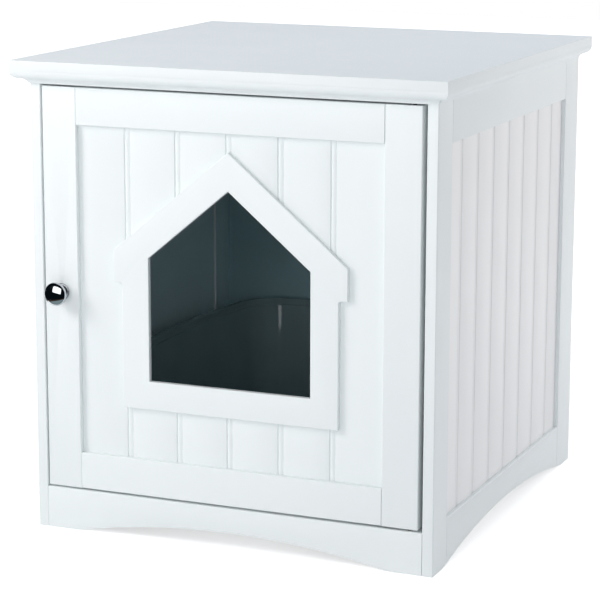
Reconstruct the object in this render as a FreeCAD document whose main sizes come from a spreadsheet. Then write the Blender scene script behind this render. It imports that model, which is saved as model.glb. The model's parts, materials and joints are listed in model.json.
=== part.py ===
# Cat litter box cabinet: framed bead-board sides, a moulded top, arched feet, and one door that turns on
# two pivot pins and has a house-shaped doorway. A litter tray stands on the floor board inside.
# Millimetres. +X is to the right, +Y to the back and +Z up. The pieces are drawn with x = 0 at the middle,
# y = 0 at the front of the side frames and z = 0 on the floor, and their placements then bring the origin
# to the middle of the footprint.
import FreeCAD, Part
import Sketcher
import math
import os
import re

SIZES = {
    # the cabinet as a whole
    "body_width": 459.0,  # over the outer faces of the side frames
    "body_depth": 488.0,
    "body_height": 488.0,  # floor to the underside of the cornice
    "edge_ease": 0.8,  # small bevel on the boards' front edges
    # top and cornice
    "top_thickness": 10.5,
    "top_edge_round": 0.6,
    "cornice_height": 14.5,
    "cornice_front_overhang": 18.5,
    "cornice_side_overhang": 15.5,
    "cornice_lip": 0.4,
    "ovolo_radius": 8.8,
    "quirk_width": 0.8,  # the narrow ledge between ovolo and cove
    "cove_reach": 5.4,
    "cove_drop": 4.8,
    "cove_radius": 8.0,
    "header_depth": 40.0,
    # side frames
    "frame_thickness": 12.0,
    "front_stile_width": 43.0,
    "rear_stile_width": 50.0,
    "top_rail_height": 44.0,  # the part that shows under the cornice
    "bottom_rail_height": 52.0,
    "side_panel_setback": 4.5,
    "side_foot_length": 23.0,
    "side_arch_rise": 21.0,
    "arch_end_round": 90.0,  # the reverse curve from each arch into its feet
    "cut_run_out": 2.0,
    # bead board
    "panel_thickness": 5.0,
    "tongue_depth": 6.0,  # how far panels and tenons reach into a groove
    "tongue_play": 0.5,
    "bead_width": 5.8,
    "bead_groove_width": 1.0,
    "bead_groove_depth": 1.4,
    "bead_drop": 0.2,
    "side_bead_pitch": 52.0,
    "side_bead_count": 7,
    "door_bead_pitch": 58.5,
    "door_bead_count": 5,
    # back, floor and apron
    "back_thickness": 12.0,
    "back_ground_gap": 20.0,
    "floor_thickness": 12.0,
    "apron_height": 46.0,
    "apron_thickness": 12.0,
    "apron_foot_length": 27.0,
    "apron_arch_rise": 19.0,
    # door
    "door_thickness": 15.0,
    "door_frame_width": 40.0,
    "door_panel_setback": 6.0,
    "latch_gap": 2.0,
    "hinge_gap": 5.0,
    "door_top_gap": 2.5,
    "door_bottom_gap": 2.5,
    # doorway and its trim
    "doorway_width": 185.0,
    "doorway_sill": 175.5,
    "doorway_gable_rise": 77.0,
    "trim_band": 31.0,
    "trim_thickness": 5.5,
    "trim_edge_bevel": 0.5,
    "trim_top_gap": 19.2,  # from the trim's peak to the door's top rail
    "eave_overhang": 10.0,
    "eave_drop": 34.5,
    "eave_corner_radius": 3.0,
    "hole_setback": 2.0,  # the panel's cut edge hides behind the trim
    # pivots
    "pivot_inset": 10.4,  # pin axis to the door's hinge edge
    "pin_radius": 2.0,
    "pin_grip": 20.0,  # length held in the door
    "pin_bevel": 0.5,
    "bush_wall": 1.5,
    "bush_depth": 8.0,
    "bush_floor": 2.0,
    "pin_end_play": 0.5,  # over the upper pin, so that the lower one carries the door
    "running_clearance": 0.05,
    # knob
    "knob_height": 265.0,
    "knob_projection": 21.5,
    "knob_radius": 12.0,
    "knob_rim": 13.5,  # the widest place, measured from the door
    "knob_neck_top": 8.0,
    "knob_neck_radius": 4.5,
    "knob_back_radius": 10.0,
    "rosette_radius": 10.0,
    "rosette_thickness": 2.4,
    "rosette_round": 1.4,
    "knob_screw_radius": 2.0,
    "knob_screw_depth": 7.0,
    "knob_screw_head_radius": 4.0,
    "knob_screw_head_height": 2.4,
    # magnetic catch
    "catch_inset": 60.0,  # its middle, from the latch side's inner face
    "catch_length": 46.0,
    "catch_height": 13.0,
    "catch_depth": 16.0,
    "catch_setback": 0.5,  # housing behind the faces of the pole plates
    "magnet_length": 26.0,
    "magnet_height": 4.0,
    "pole_thickness": 1.2,
    "pole_depth": 12.0,
    "strike_length": 34.0,
    "strike_height": 7.0,
    "strike_thickness": 1.2,
    "wood_screw_radius": 1.5,
    "wood_screw_head_radius": 3.0,
    "wood_screw_head_height": 1.8,
    "wood_screw_grip": 9.0,
    "catch_screw_spacing": 36.0,
    # knock-down fittings
    "cam_radius": 6.0,
    "cam_depth": 9.5,
    "cam_distance": 20.0,  # joint face to the middle of the cam
    "cam_wall_behind": 1.5,
    "cam_recess_length": 7.0,
    "cam_recess_width": 1.4,
    "cam_recess_depth": 1.6,
    "cam_bolt_radius": 2.5,
    "cam_bolt_grip": 8.0,
    "cam_bolt_neck_radius": 1.5,
    "cam_bolt_head_length": 2.5,
    "cam_bolt_neck_length": 3.5,
    "fitting_play": 0.1,
    "floor_fixing_inset": 100.0,
    "back_fixing_low": 120.0,
    "back_fixing_high": 400.0,
    "apron_fixing_height": 27.0,
    "top_fixing_inset": 100.0,
    "dowel_radius": 3.0,
    "dowel_length": 20.0,
    "dowel_depth": 8.0,  # the share in the second board
    "dowel_inset": 70.0,
    "header_dowel_inset": 12.0,
    # litter tray
    "tray_side_play": 27.5,  # to each side frame
    "tray_front_play": 5.0,  # behind the shut door
    "tray_rear_play": 4.0,
    "tray_height": 129.0,
    "tray_wall": 2.4,
    "tray_corner_radius": 55.0,
    "tray_side_bow": 1150.0,
    "tray_end_bow": 900.0,
    "tray_taper": 12.0,
    "tray_foot_round": 9.0,
    "rim_width": 9.0,
    "rim_skirt": 2.0,
    "rim_step_height": 7.5,
    "rim_step_width": 2.0,
    "rim_round": 1.0,
}

# Faces and levels that several pieces share, as formulas in the names above.
HALF = "(body_width / 2)"
INNER = "(body_width / 2 - frame_thickness)"
FRAME_TOP = "(body_height + cornice_height)"
TOP_HALF = "(body_width / 2 + cornice_side_overhang)"
FRONT_REACH = "max(knob_projection; cornice_front_overhang)"
MIDDLE_Y = f"((body_depth - {FRONT_REACH}) / 2)"
PANEL_FACE = "(body_width / 2 - side_panel_setback)"
PANEL_BACK = "(body_width / 2 - side_panel_setback - panel_thickness)"
REAR_STILE = "(body_depth - rear_stile_width)"
TOP_RAIL = "(body_height - top_rail_height)"
BACK_FACE = "(body_depth - back_thickness)"
DOOR_LEFT = f"(latch_gap - {INNER})"
DOOR_RIGHT = f"({INNER} - hinge_gap)"
DOOR_LOW = "(apron_height + door_bottom_gap)"
DOOR_HIGH = "(body_height - door_top_gap)"
STILE_LEFT = f"({DOOR_LEFT} + door_frame_width)"
STILE_RIGHT = f"({DOOR_RIGHT} - door_frame_width)"
RAIL_LOW = f"({DOOR_LOW} + door_frame_width)"
RAIL_HIGH = f"({DOOR_HIGH} - door_frame_width)"
DOOR_PANEL_BACK = "(door_panel_setback + panel_thickness)"
PIVOT_X = f"({DOOR_RIGHT} - pivot_inset)"
PIVOT_Y = "(apron_thickness / 2)"
KNOB_X = f"({DOOR_LEFT} + door_frame_width / 2)"
CATCH_X = f"(catch_inset - {INNER})"
CATCH_Z = "(body_height - catch_height / 2)"
STRIKE_FACE = "(door_thickness + strike_thickness)"
TRAY_HALF_WIDTH = f"({INNER} - tray_side_play)"
TRAY_FRONT = "(door_thickness + tray_front_play)"
TRAY_REAR = f"({BACK_FACE} - tray_rear_play)"
SLOPE = "(doorway_gable_rise / (doorway_width / 2))"
SLOPE_STRETCH = f"sqrt(1 + {SLOPE}^2)"
TRIM_PEAK = f"({RAIL_HIGH} - trim_top_gap)"
DOORWAY_PEAK = f"({TRIM_PEAK} - trim_band * {SLOPE_STRETCH})"
TONGUE = "(tongue_depth - tongue_play)"
SIDE_MIDDLE = f"({HALF} - frame_thickness / 2)"

# Bores, each a little wider and deeper than what goes into it.
BOLT_HOLE = "(cam_bolt_radius + fitting_play)"
BOLT_HOLE_DEPTH = "(cam_bolt_grip + fitting_play)"
CAM_HOLE = "(cam_radius + fitting_play)"
CAM_HOLE_DEPTH = "(cam_depth + fitting_play)"
DOWEL_HOLE = "(dowel_radius + fitting_play)"
DOWEL_HOLE_DEPTH = "(dowel_depth + fitting_play)"
DOWEL_HOLE_REST = "(dowel_length - dowel_depth + fitting_play)"
SCREW_HOLE = "(wood_screw_radius + fitting_play)"
BUSH_HOLE = "(pin_radius + running_clearance + bush_wall)"
BUSH_HOLE_DEPTH = "(bush_depth + bush_floor)"

document = FreeCAD.newDocument("litter_box_cabinet")
sheet = document.addObject("Spreadsheet::Sheet", "sizes")
vector = FreeCAD.Vector

# Each drawing plane: its role in a body's origin, and which way its own normal points along the third axis.
PLANES = {"top": ("XY_Plane", 1), "front": ("XZ_Plane", -1), "side": ("YZ_Plane", 1)}
cuts = []


def fill_sheet():
    """One row for each driving size: its name and its number."""
    for row, (name, size) in enumerate(SIZES.items(), start=1):
        sheet.set(f"A{row}", name)
        sheet.set(f"B{row}", str(size))
        sheet.setAlias(f"B{row}", name)
    document.recompute()


def in_sheet(formula):
    """The formula with each size's name led back to the sheet."""
    return re.sub(r"[a-z][a-z_]*", lambda word: "sizes." + word[0] if word[0] in SIZES else word[0], formula)


def number(formula):
    return float(sheet.evalExpression(formula))


def bind(thing, setting, formula):
    thing.setExpression(setting, in_sheet(formula))


def part_of_origin(body, role):
    return next(feature for feature in body.Origin.OriginFeatures if feature.Role == role)


def new_body(label, x="0", y="0", z="0"):
    """An empty piece, placed by its own origin and then moved to the middle of the footprint."""
    body = document.addObject("PartDesign::Body", label)
    body.Label = label
    bind(body, "Placement.Base.x", x)
    bind(body, "Placement.Base.y", f"{y} - {MIDDLE_Y}")
    bind(body, "Placement.Base.z", z)
    return body


def new_sketch(body, plane, at="0", origin=("0", "0")):
    """A sketch on one of the body's own planes, lifted to a level, with its origin at a point there."""
    role, normal = PLANES[plane]
    sketch = body.newObject("Sketcher::SketchObject", f"{body.Label}_sketch")
    sketch.AttachmentSupport = [(part_of_origin(body, role), "")]
    sketch.MapMode = "FlatFace"
    bind(sketch, "AttachmentOffset.Base.x", origin[0])
    bind(sketch, "AttachmentOffset.Base.y", origin[1])
    bind(sketch, "AttachmentOffset.Base.z", f"{normal} * ({at})")
    return sketch


def hold(sketch, kind, *where, size):
    """A dimension of the sketch, bound to its formula."""
    index = sketch.addConstraint(Sketcher.Constraint(kind, *where, number(size)))
    bind(sketch, f"Constraints[{index}]", size)


def hold_point(sketch, line, end, x, y):
    hold(sketch, "DistanceX", -1, 1, line, end, size=x)
    hold(sketch, "DistanceY", -1, 1, line, end, size=y)


def draw_outline(sketch, points):
    """A closed outline. A point is (x, y). Where an arc leads on from it, its radius and its turn follow:
    1 for an arc that runs anticlockwise and -1 for one that runs clockwise."""
    spots = [vector(number(point[0]), number(point[1]), 0) for point in points]
    spans = []
    for here, there, point in zip(spots, spots[1:] + spots[:1], points):
        if len(point) == 2:
            spans.append((sketch.addGeometry(Part.LineSegment(here, there), False), 1, 2))
            continue
        radius, turn = number(point[2]), point[3]
        chord = there - here
        rise = math.sqrt(max(radius**2 - (chord.Length / 2) ** 2, 0.0)) / chord.Length
        middle = (here + there) * 0.5 + vector(-chord.y, chord.x, 0) * (rise * turn)
        first, last = (here, there) if turn > 0 else (there, here)
        angles = [math.atan2(spot.y - middle.y, spot.x - middle.x) for spot in (first, last)]
        if angles[1] < angles[0]:
            angles[1] += 2 * math.pi
        arc = Part.ArcOfCircle(Part.Circle(middle, vector(0, 0, 1), radius), *angles)
        index = sketch.addGeometry(arc, False)
        spans.append((index, 1, 2) if turn > 0 else (index, 2, 1))
        hold(sketch, "Radius", index, size=point[2])
    for (line, _, end), (following, start, _) in zip(spans, spans[1:] + spans[:1]):
        sketch.addConstraint(Sketcher.Constraint("Coincident", line, end, following, start))
    for (line, start, _), point in zip(spans, points):
        hold_point(sketch, line, start, point[0], point[1])


def draw_circles(sketch, centres, radius):
    for x, y in centres:
        spot = vector(number(x), number(y), 0)
        circle = sketch.addGeometry(Part.Circle(spot, vector(0, 0, 1), number(radius)), False)
        hold(sketch, "Radius", circle, size=radius)
        hold_point(sketch, circle, 3, x, y)


def draw_tray_outline(sketch, grow):
    """A rounded oblong whose four sides bow out: eight arcs, tangent to one another, all moved outwards by
    the same amount. The corner arc touches the side's arc and the end's arc from inside."""
    half_width = f"({TRAY_HALF_WIDTH} + {grow})"
    half_length = f"(({TRAY_REAR} - {TRAY_FRONT}) / 2 + {grow})"
    corner = f"(tray_corner_radius + {grow})"
    side = f"(tray_side_bow + {grow})"
    end = f"(tray_end_bow + {grow})"
    side_middle = vector(number(half_width) - number(side), 0, 0)
    end_middle = vector(0, number(half_length) - number(end), 0)
    side_reach = number(side) - number(corner)
    end_reach = number(end) - number(corner)
    between = end_middle - side_middle
    along = (side_reach**2 - end_reach**2 + between.Length**2) / (2 * between.Length)
    across = math.sqrt(side_reach**2 - along**2)
    unit = between * (1 / between.Length)
    corner_middle = side_middle + unit * along + vector(-unit.y, unit.x, 0) * across
    side_turn = math.atan2(corner_middle.y - side_middle.y, corner_middle.x - side_middle.x)
    end_turn = math.atan2(corner_middle.y - end_middle.y, corner_middle.x - end_middle.x)
    quarter = math.pi / 2
    arcs = [
        (side_middle.x, 0, side, -side_turn, side_turn),
        (corner_middle.x, corner_middle.y, corner, side_turn, end_turn),
        (0, end_middle.y, end, end_turn, 2 * quarter - end_turn),
        (-corner_middle.x, corner_middle.y, corner, 2 * quarter - end_turn, 2 * quarter - side_turn),
        (-side_middle.x, 0, side, 2 * quarter - side_turn, 2 * quarter + side_turn),
        (-corner_middle.x, -corner_middle.y, corner, 2 * quarter + side_turn, 2 * quarter + end_turn),
        (0, -end_middle.y, end, 2 * quarter + end_turn, 4 * quarter - end_turn),
        (corner_middle.x, -corner_middle.y, corner, 4 * quarter - end_turn, 4 * quarter - side_turn),
    ]
    indices = []
    for x, y, radius, start, stop in arcs:
        circle = Part.Circle(vector(x, y, 0), vector(0, 0, 1), number(radius))
        indices.append(sketch.addGeometry(Part.ArcOfCircle(circle, start, stop), False))
    for index, following in zip(indices, indices[1:] + indices[:1]):
        sketch.addConstraint(Sketcher.Constraint("Tangent", index, 2, following, 1))
    for index, (_, _, radius, _, _) in zip(indices, arcs):
        hold(sketch, "Radius", index, size=radius)
    hold_point(sketch, indices[0], 3, f"{half_width} - {side}", "0")
    hold_point(sketch, indices[2], 3, "0", f"{half_length} - {end}")
    hold_point(sketch, indices[4], 3, f"{side} - {half_width}", "0")
    hold_point(sketch, indices[6], 3, "0", f"{end} - {half_length}")


def pad(body, plane, low, high, *outlines):
    """Material between two levels of a plane's normal axis, inside the first outline and outside the rest."""
    sketch = new_sketch(body, plane, low)
    for outline in outlines:
        draw_outline(sketch, outline)
    return pad_sketch(body, plane, sketch, f"({high}) - ({low})")


def pad_sketch(body, plane, sketch, length):
    feature = body.newObject("PartDesign::Pad", f"{body.Label}_pad")
    feature.Profile = sketch
    bind(feature, "Length", length)
    feature.Reversed = PLANES[plane][1] < 0
    sketch.Visibility = False
    return feature


def pocket_sketch(body, plane, sketch, depth, toward):
    """Takes the sketch's area away over a depth, in the plus (1) or minus (-1) sense of the third axis."""
    before = body.Tip
    feature = body.newObject("PartDesign::Pocket", f"{body.Label}_pocket")
    feature.Profile = sketch
    bind(feature, "Length", depth)
    feature.Reversed = PLANES[plane][1] * toward > 0
    cuts.append((feature, before))
    return feature


def cut(body, plane, low, high, *outlines):
    """Takes away what lies between two levels, inside the outline."""
    sketch = new_sketch(body, plane, low)
    for outline in outlines:
        draw_outline(sketch, outline)
    return pocket_sketch(body, plane, sketch, f"({high}) - ({low})", 1)


def drill(body, plane, face, toward, depth, radius, centres):
    sketch = new_sketch(body, plane, face)
    draw_circles(sketch, centres, radius)
    return pocket_sketch(body, plane, sketch, depth, toward)


def revolve(body, outline, axis, origin=("0", "0"), at="0", plane="front"):
    """A turned piece: the outline about the sketch's own horizontal or vertical axis."""
    sketch = new_sketch(body, plane, at, origin)
    draw_outline(sketch, outline)
    feature = body.newObject("PartDesign::Revolution", f"{body.Label}_turning")
    feature.Profile = sketch
    feature.ReferenceAxis = (sketch, [axis])
    feature.Angle = 360
    return feature


def repeat(body, role, length, count):
    """The whole piece again, evenly spaced along an axis of its origin."""
    feature = body.newObject("PartDesign::LinearPattern", f"{body.Label}_row")
    feature.TransformMode = "Whole shape"
    feature.Direction = (part_of_origin(body, role), [""])
    bind(feature, "Length", length)
    feature.Occurrences = count
    body.Tip = feature


def mirror(body):
    """The whole piece again on the other side of the middle."""
    feature = body.newObject("PartDesign::Mirrored", f"{body.Label}_mirror")
    feature.TransformMode = "Whole shape"
    feature.MirrorPlane = (part_of_origin(body, "YZ_Plane"), [""])
    body.Tip = feature


def edges_of(shape, wanted):
    """The names of the edges whose bounding box answers the question."""
    return [f"Edge{index}" for index, edge in enumerate(shape.Edges, start=1) if wanted(edge.BoundBox)]


def round_edges(body, radius, wanted, kind="Fillet"):
    document.recompute()
    before = body.Tip
    feature = body.newObject(f"PartDesign::{kind}", f"{body.Label}_{kind.lower()}")
    feature.Base = (before, edges_of(before.Shape, wanted))
    bind(feature, "Radius" if kind == "Fillet" else "Size", radius)
    body.Tip = feature
    return feature


def oblong(left, low, right, high):
    return [(left, low), (right, low), (right, high), (left, high)]


def flip(side, points):
    """The outline as it is for the right side (1), or mirrored for the left side (-1)."""
    return [(f"{side} * {point[0]}", *point[1:3], point[3] * side) if len(point) > 2 else
            (f"{side} * {point[0]}", point[1]) for point in points]


# Top and cornice


def top_board():
    body = new_body("top_board")
    outline = oblong(f"-{TOP_HALF}", "-cornice_front_overhang", TOP_HALF, "body_depth")
    pad(body, "top", FRAME_TOP, f"{FRAME_TOP} + top_thickness", outline)
    drill(body, "top", FRAME_TOP, 1, BOLT_HOLE_DEPTH, BOLT_HOLE, top_fixings())
    drill(body, "top", FRAME_TOP, 1, DOWEL_HOLE_DEPTH, DOWEL_HOLE, top_dowel_places())
    top = number(f"{FRAME_TOP} + top_thickness")
    round_edges(body, "top_edge_round", lambda box: box.ZMin > top - 1e-3)


def cornice_profile(face, inside):
    """From the outer face inwards: a narrow lip, an ovolo, a quirk, a shallow cove and the flat underside."""
    low = f"({FRAME_TOP} - cornice_lip - ovolo_radius)"
    quirk = f"({face} + ovolo_radius + quirk_width)"
    return [
        (face, FRAME_TOP),
        (face, f"{FRAME_TOP} - cornice_lip", "ovolo_radius", 1),
        (f"({face} + ovolo_radius)", low),
        (quirk, low, "cove_radius", -1),
        (f"({quirk} + cove_reach)", f"{low} - cove_drop"),
        (f"({quirk} + cove_reach)", "body_height"),
        (inside, "body_height"),
        (inside, FRAME_TOP),
    ]


def front_cornice():
    """The moulding under the front of the top, mitred at both ends."""
    body = new_body("front_cornice")
    pad(body, "side", f"-{TOP_HALF}", TOP_HALF, cornice_profile("(-cornice_front_overhang)", "0"))
    for side in (1, -1):
        corner = [
            (TOP_HALF, "-cornice_front_overhang"),
            (TOP_HALF, "cornice_front_overhang"),
            (HALF, "cornice_front_overhang"),
            (HALF, "cornice_side_overhang - cornice_front_overhang"),
        ]
        cut(body, "top", "body_height", FRAME_TOP, flip(side, corner))


def side_cornice(label, side):
    body = new_body(label)
    profile = cornice_profile(f"(-{TOP_HALF})", f"(-{HALF})")
    pad(body, "front", "-cornice_front_overhang", "body_depth", flip(-side, profile))
    corner = [
        (TOP_HALF, "-cornice_front_overhang"),
        (HALF, "-cornice_front_overhang"),
        (HALF, "cornice_side_overhang - cornice_front_overhang"),
    ]
    cut(body, "top", "body_height", FRAME_TOP, flip(side, corner))


def header_rail():
    """The rail over the door: it carries the upper pivot's bush and the catch."""
    body = new_body("header_rail")
    pad(body, "top", "body_height", FRAME_TOP, oblong(f"-{INNER}", "0", INNER, "header_depth"))
    drill(body, "top", "body_height", 1, BUSH_HOLE_DEPTH, BUSH_HOLE, [(PIVOT_X, PIVOT_Y)])
    screws = [(f"{CATCH_X} - catch_screw_spacing / 2", catch_middle_y()),
              (f"{CATCH_X} + catch_screw_spacing / 2", catch_middle_y())]
    drill(body, "top", "body_height", 1, "wood_screw_grip", "wood_screw_radius", screws)
    for side in (1, -1):
        drill(body, "side", f"{side} * {INNER}", -side, DOWEL_HOLE_REST, DOWEL_HOLE, [header_dowel_place()])


# Side frames


def side_stile(label, side, front):
    """A stile in plan: a groove in its inner edge takes the panel and the rails' tenons."""
    body = new_body(label)
    ease = "edge_ease"
    if front:
        edge = "front_stile_width"
        outline = [
            (f"({INNER} + {ease})", "0"), (f"({HALF} - {ease})", "0"), (HALF, ease),
            (HALF, f"{edge} - {ease}"), (f"({HALF} - {ease})", edge), (PANEL_FACE, edge),
            (PANEL_FACE, f"{edge} - tongue_depth"), (PANEL_BACK, f"{edge} - tongue_depth"),
            (PANEL_BACK, edge), (INNER, edge), (INNER, ease),
        ]
    else:
        outline = [
            (INNER, REAR_STILE), (PANEL_BACK, REAR_STILE), (PANEL_BACK, f"{REAR_STILE} + tongue_depth"),
            (PANEL_FACE, f"{REAR_STILE} + tongue_depth"), (PANEL_FACE, REAR_STILE),
            (f"({HALF} - {ease})", REAR_STILE), (HALF, f"{REAR_STILE} + {ease}"),
            (HALF, "body_depth"), (INNER, "body_depth"),
        ]
    pad(body, "top", "0", FRAME_TOP, flip(side, outline))
    cut_side_arch(body, side)
    inner_face = f"{side} * {INNER}"
    if front:
        apron_bolt = ("apron_thickness / 2", "apron_fixing_height")
        drill(body, "side", inner_face, side, BOLT_HOLE_DEPTH, BOLT_HOLE, [apron_bolt])
        drill(body, "side", inner_face, side, DOWEL_HOLE_DEPTH, DOWEL_HOLE, [header_dowel_place()])
    else:
        drill(body, "side", inner_face, side, BOLT_HOLE_DEPTH, BOLT_HOLE, back_fixings())


def arch_outline(middle, half, rise):
    """The space under an arch: a long arc that runs into the soles in two reverse curves. The two kinds of
    arc touch on the line between their centres."""
    radius = f"(({half}^2 + {rise}^2) / (2 * {rise}) - arch_end_round)"
    share = f"({radius} / ({radius} + arch_end_round))"
    touch = f"({half} * {share})"
    height = f"({rise} - {radius} + ({radius} + arch_end_round - {rise}) * {share})"
    return [
        (f"{middle} - {half}", "0", "arch_end_round", 1), (f"{middle} - {touch}", height, radius, -1),
        (f"{middle} + {touch}", height, "arch_end_round", 1), (f"{middle} + {half}", "0"),
        (f"{middle} + {half}", "-cut_run_out"), (f"{middle} - {half}", "-cut_run_out"),
    ]


def cut_side_arch(body, side):
    """The low arch between the feet, one curve through stiles and rail alike."""
    outline = arch_outline("(body_depth / 2)", "(body_depth / 2 - side_foot_length)", "side_arch_rise")
    low, high = (INNER, HALF) if side > 0 else (f"-{HALF}", f"-{INNER}")
    cut(body, "side", low, high, outline)


def side_top_rail(label, side):
    body = new_body(label)
    outline = [
        (INNER, TOP_RAIL), (PANEL_BACK, TOP_RAIL), (PANEL_BACK, f"{TOP_RAIL} + tongue_depth"),
        (PANEL_FACE, f"{TOP_RAIL} + tongue_depth"), (PANEL_FACE, TOP_RAIL),
        (f"({HALF} - edge_ease)", TOP_RAIL), (HALF, f"{TOP_RAIL} + edge_ease"),
        (HALF, FRAME_TOP), (INNER, FRAME_TOP),
    ]
    pad(body, "front", "front_stile_width", REAR_STILE, flip(side, outline))
    side_tenons(body, side, f"{TOP_RAIL} + tongue_depth", FRAME_TOP)
    drill(body, "top", FRAME_TOP, -1, "cam_distance", BOLT_HOLE, on_side(side, top_fixings()))
    drill(body, "top", FRAME_TOP, -1, DOWEL_HOLE_REST, DOWEL_HOLE, on_side(side, top_dowel_places()))
    cam_height = f"{FRAME_TOP} - cam_distance"
    drill(body, "side", f"{side} * {INNER}", side, CAM_HOLE_DEPTH, CAM_HOLE,
          [("top_fixing_inset", cam_height), ("body_depth - top_fixing_inset", cam_height)])


def side_bottom_rail(label, side):
    body = new_body(label)
    high = "bottom_rail_height"
    outline = [
        (INNER, "0"), (HALF, "0"), (HALF, f"{high} - edge_ease"), (f"({HALF} - edge_ease)", high),
        (PANEL_FACE, high), (PANEL_FACE, f"{high} - tongue_depth"),
        (PANEL_BACK, f"{high} - tongue_depth"), (PANEL_BACK, high), (INNER, high),
    ]
    pad(body, "front", "front_stile_width", REAR_STILE, flip(side, outline))
    side_tenons(body, side, "0", f"{high} - tongue_depth")
    cut_side_arch(body, side)
    drill(body, "side", f"{side} * {INNER}", side, BOLT_HOLE_DEPTH, BOLT_HOLE, floor_fixings())


def side_tenons(body, side, low, high):
    """The stub tenons at a rail's ends, which fill the stiles' grooves."""
    outline = flip(side, oblong(PANEL_BACK, low, PANEL_FACE, high))
    pad(body, "front", f"front_stile_width - {TONGUE}", "front_stile_width", outline)
    pad(body, "front", REAR_STILE, f"{REAR_STILE} + {TONGUE}", outline)


def bead_outline(middle, face, outwards, along_first):
    """One bead in section: a steep groove on each side of a low round rib. The outline also runs a little
    past the panel's face, so that the grooves are open."""
    half = "bead_width / 2"
    crown = "(bead_groove_depth - bead_drop)"
    radius = f"(({half})^2 + {crown}^2) / (2 * {crown})"
    deep = f"({face} - {outwards} * bead_groove_depth)"
    over = f"({face} + {outwards} * bead_groove_width)"
    lip = f"{half} + bead_groove_width"
    run = [
        (f"{middle} - {lip}", over), (f"{middle} - {lip}", face),
        (f"{middle} - {half}", deep, radius, -outwards), (f"{middle} + {half}", deep),
        (f"{middle} + {lip}", face), (f"{middle} + {lip}", over),
    ]
    if along_first:
        return run
    return [(point[1], point[0], *point[2:3], *(-turn for turn in point[3:])) for point in run]


def cut_beads(body, outline, low, high, role, pitch, count):
    """The first bead's grooves, and the rest of the row at their pitch."""
    first = cut(body, "top", low, high, outline)
    row = body.newObject("PartDesign::LinearPattern", f"{body.Label}_beads")
    row.Originals = [first]
    row.Direction = (part_of_origin(body, role), [""])
    bind(row, "Length", f"{pitch} * ({count} - 1)")
    bind(row, "Occurrences", count)
    body.Tip = row
    cuts.append((row, first))


def side_bead_panel(label, side):
    body = new_body(label)
    low, high = f"bottom_rail_height - {TONGUE}", f"{TOP_RAIL} + {TONGUE}"
    outline = oblong(PANEL_BACK, f"front_stile_width - {TONGUE}", PANEL_FACE, f"{REAR_STILE} + {TONGUE}")
    pad(body, "top", low, high, flip(side, outline))
    first = f"((front_stile_width + {REAR_STILE}) / 2 - side_bead_pitch * (side_bead_count - 1) / 2)"
    outline = bead_outline(first, f"{side} * {PANEL_FACE}", side, False)
    cut_beads(body, outline, low, high, "Y_Axis", "side_bead_pitch", "side_bead_count")


# Back, floor and apron


def back_panel():
    body = new_body("back_panel")
    pad(body, "top", "back_ground_gap", FRAME_TOP, oblong(f"-{INNER}", BACK_FACE, INNER, "body_depth"))
    cams = [(f"{side} * ({INNER} - cam_distance)", height) for side in (1, -1)
            for height in ("back_fixing_low", "back_fixing_high")]
    drill(body, "front", "body_depth", -1, CAM_HOLE_DEPTH, CAM_HOLE, cams)
    bolt_bores(body, back_fixings())


def bolt_bores(body, centres):
    """The bores that take the bolts' shanks, in from both ends of a board that stands between the sides."""
    for side in (1, -1):
        drill(body, "side", f"{side} * {INNER}", -side, "cam_distance", BOLT_HOLE, centres)


def floor_board():
    body = new_body("floor_board")
    outline = oblong(f"-{INNER}", "apron_thickness", INNER, BACK_FACE)
    pad(body, "top", "apron_height - floor_thickness", "apron_height", outline)
    cams = [(f"{side} * ({INNER} - cam_distance)", row) for side in (1, -1) for row, _ in floor_fixings()]
    drill(body, "top", "apron_height - floor_thickness", 1, CAM_HOLE_DEPTH, CAM_HOLE, cams)
    bolt_bores(body, floor_fixings())


def front_apron():
    body = new_body("front_apron")
    outline = [
        ("edge_ease", "0"), ("apron_thickness", "0"), ("apron_thickness", "apron_height"),
        ("edge_ease", "apron_height"), ("0", "apron_height - edge_ease"), ("0", "edge_ease"),
    ]
    pad(body, "side", f"-{INNER}", INNER, outline)
    arch = arch_outline("0", f"({INNER} - apron_foot_length)", "apron_arch_rise")
    cut(body, "front", "0", "apron_thickness", arch)
    cams = [(f"{side} * ({INNER} - cam_distance)", "apron_fixing_height") for side in (1, -1)]
    drill(body, "front", "apron_thickness", -1, CAM_HOLE_DEPTH, CAM_HOLE, cams)
    bolt_bores(body, [("apron_thickness / 2", "apron_fixing_height")])
    drill(body, "top", "apron_height", -1, BUSH_HOLE_DEPTH, BUSH_HOLE, [(PIVOT_X, PIVOT_Y)])


# Where the fittings sit


def floor_middle():
    return "(apron_height - floor_thickness / 2)"


def floor_fixings():
    return [("floor_fixing_inset", floor_middle()), ("body_depth - floor_fixing_inset", floor_middle())]


def back_fixings():
    return [("body_depth - back_thickness / 2", "back_fixing_low"),
            ("body_depth - back_thickness / 2", "back_fixing_high")]


def top_fixings():
    rows = ("top_fixing_inset", "body_depth - top_fixing_inset")
    return [(f"{side} * {SIDE_MIDDLE}", row) for side in (1, -1) for row in rows]


def top_dowel_places():
    rows = ("dowel_inset", "body_depth - dowel_inset")
    return [(f"{side} * {SIDE_MIDDLE}", row) for side in (1, -1) for row in rows]


def on_side(side, places):
    return [place for place in places if place[0].startswith(f"{side} ")]


def header_dowel_place():
    return "header_depth - header_dowel_inset", f"{FRAME_TOP} - cornice_height / 2"


def catch_middle_y():
    return f"({STRIKE_FACE} + catch_setback + catch_depth / 2)"


# Door


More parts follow.
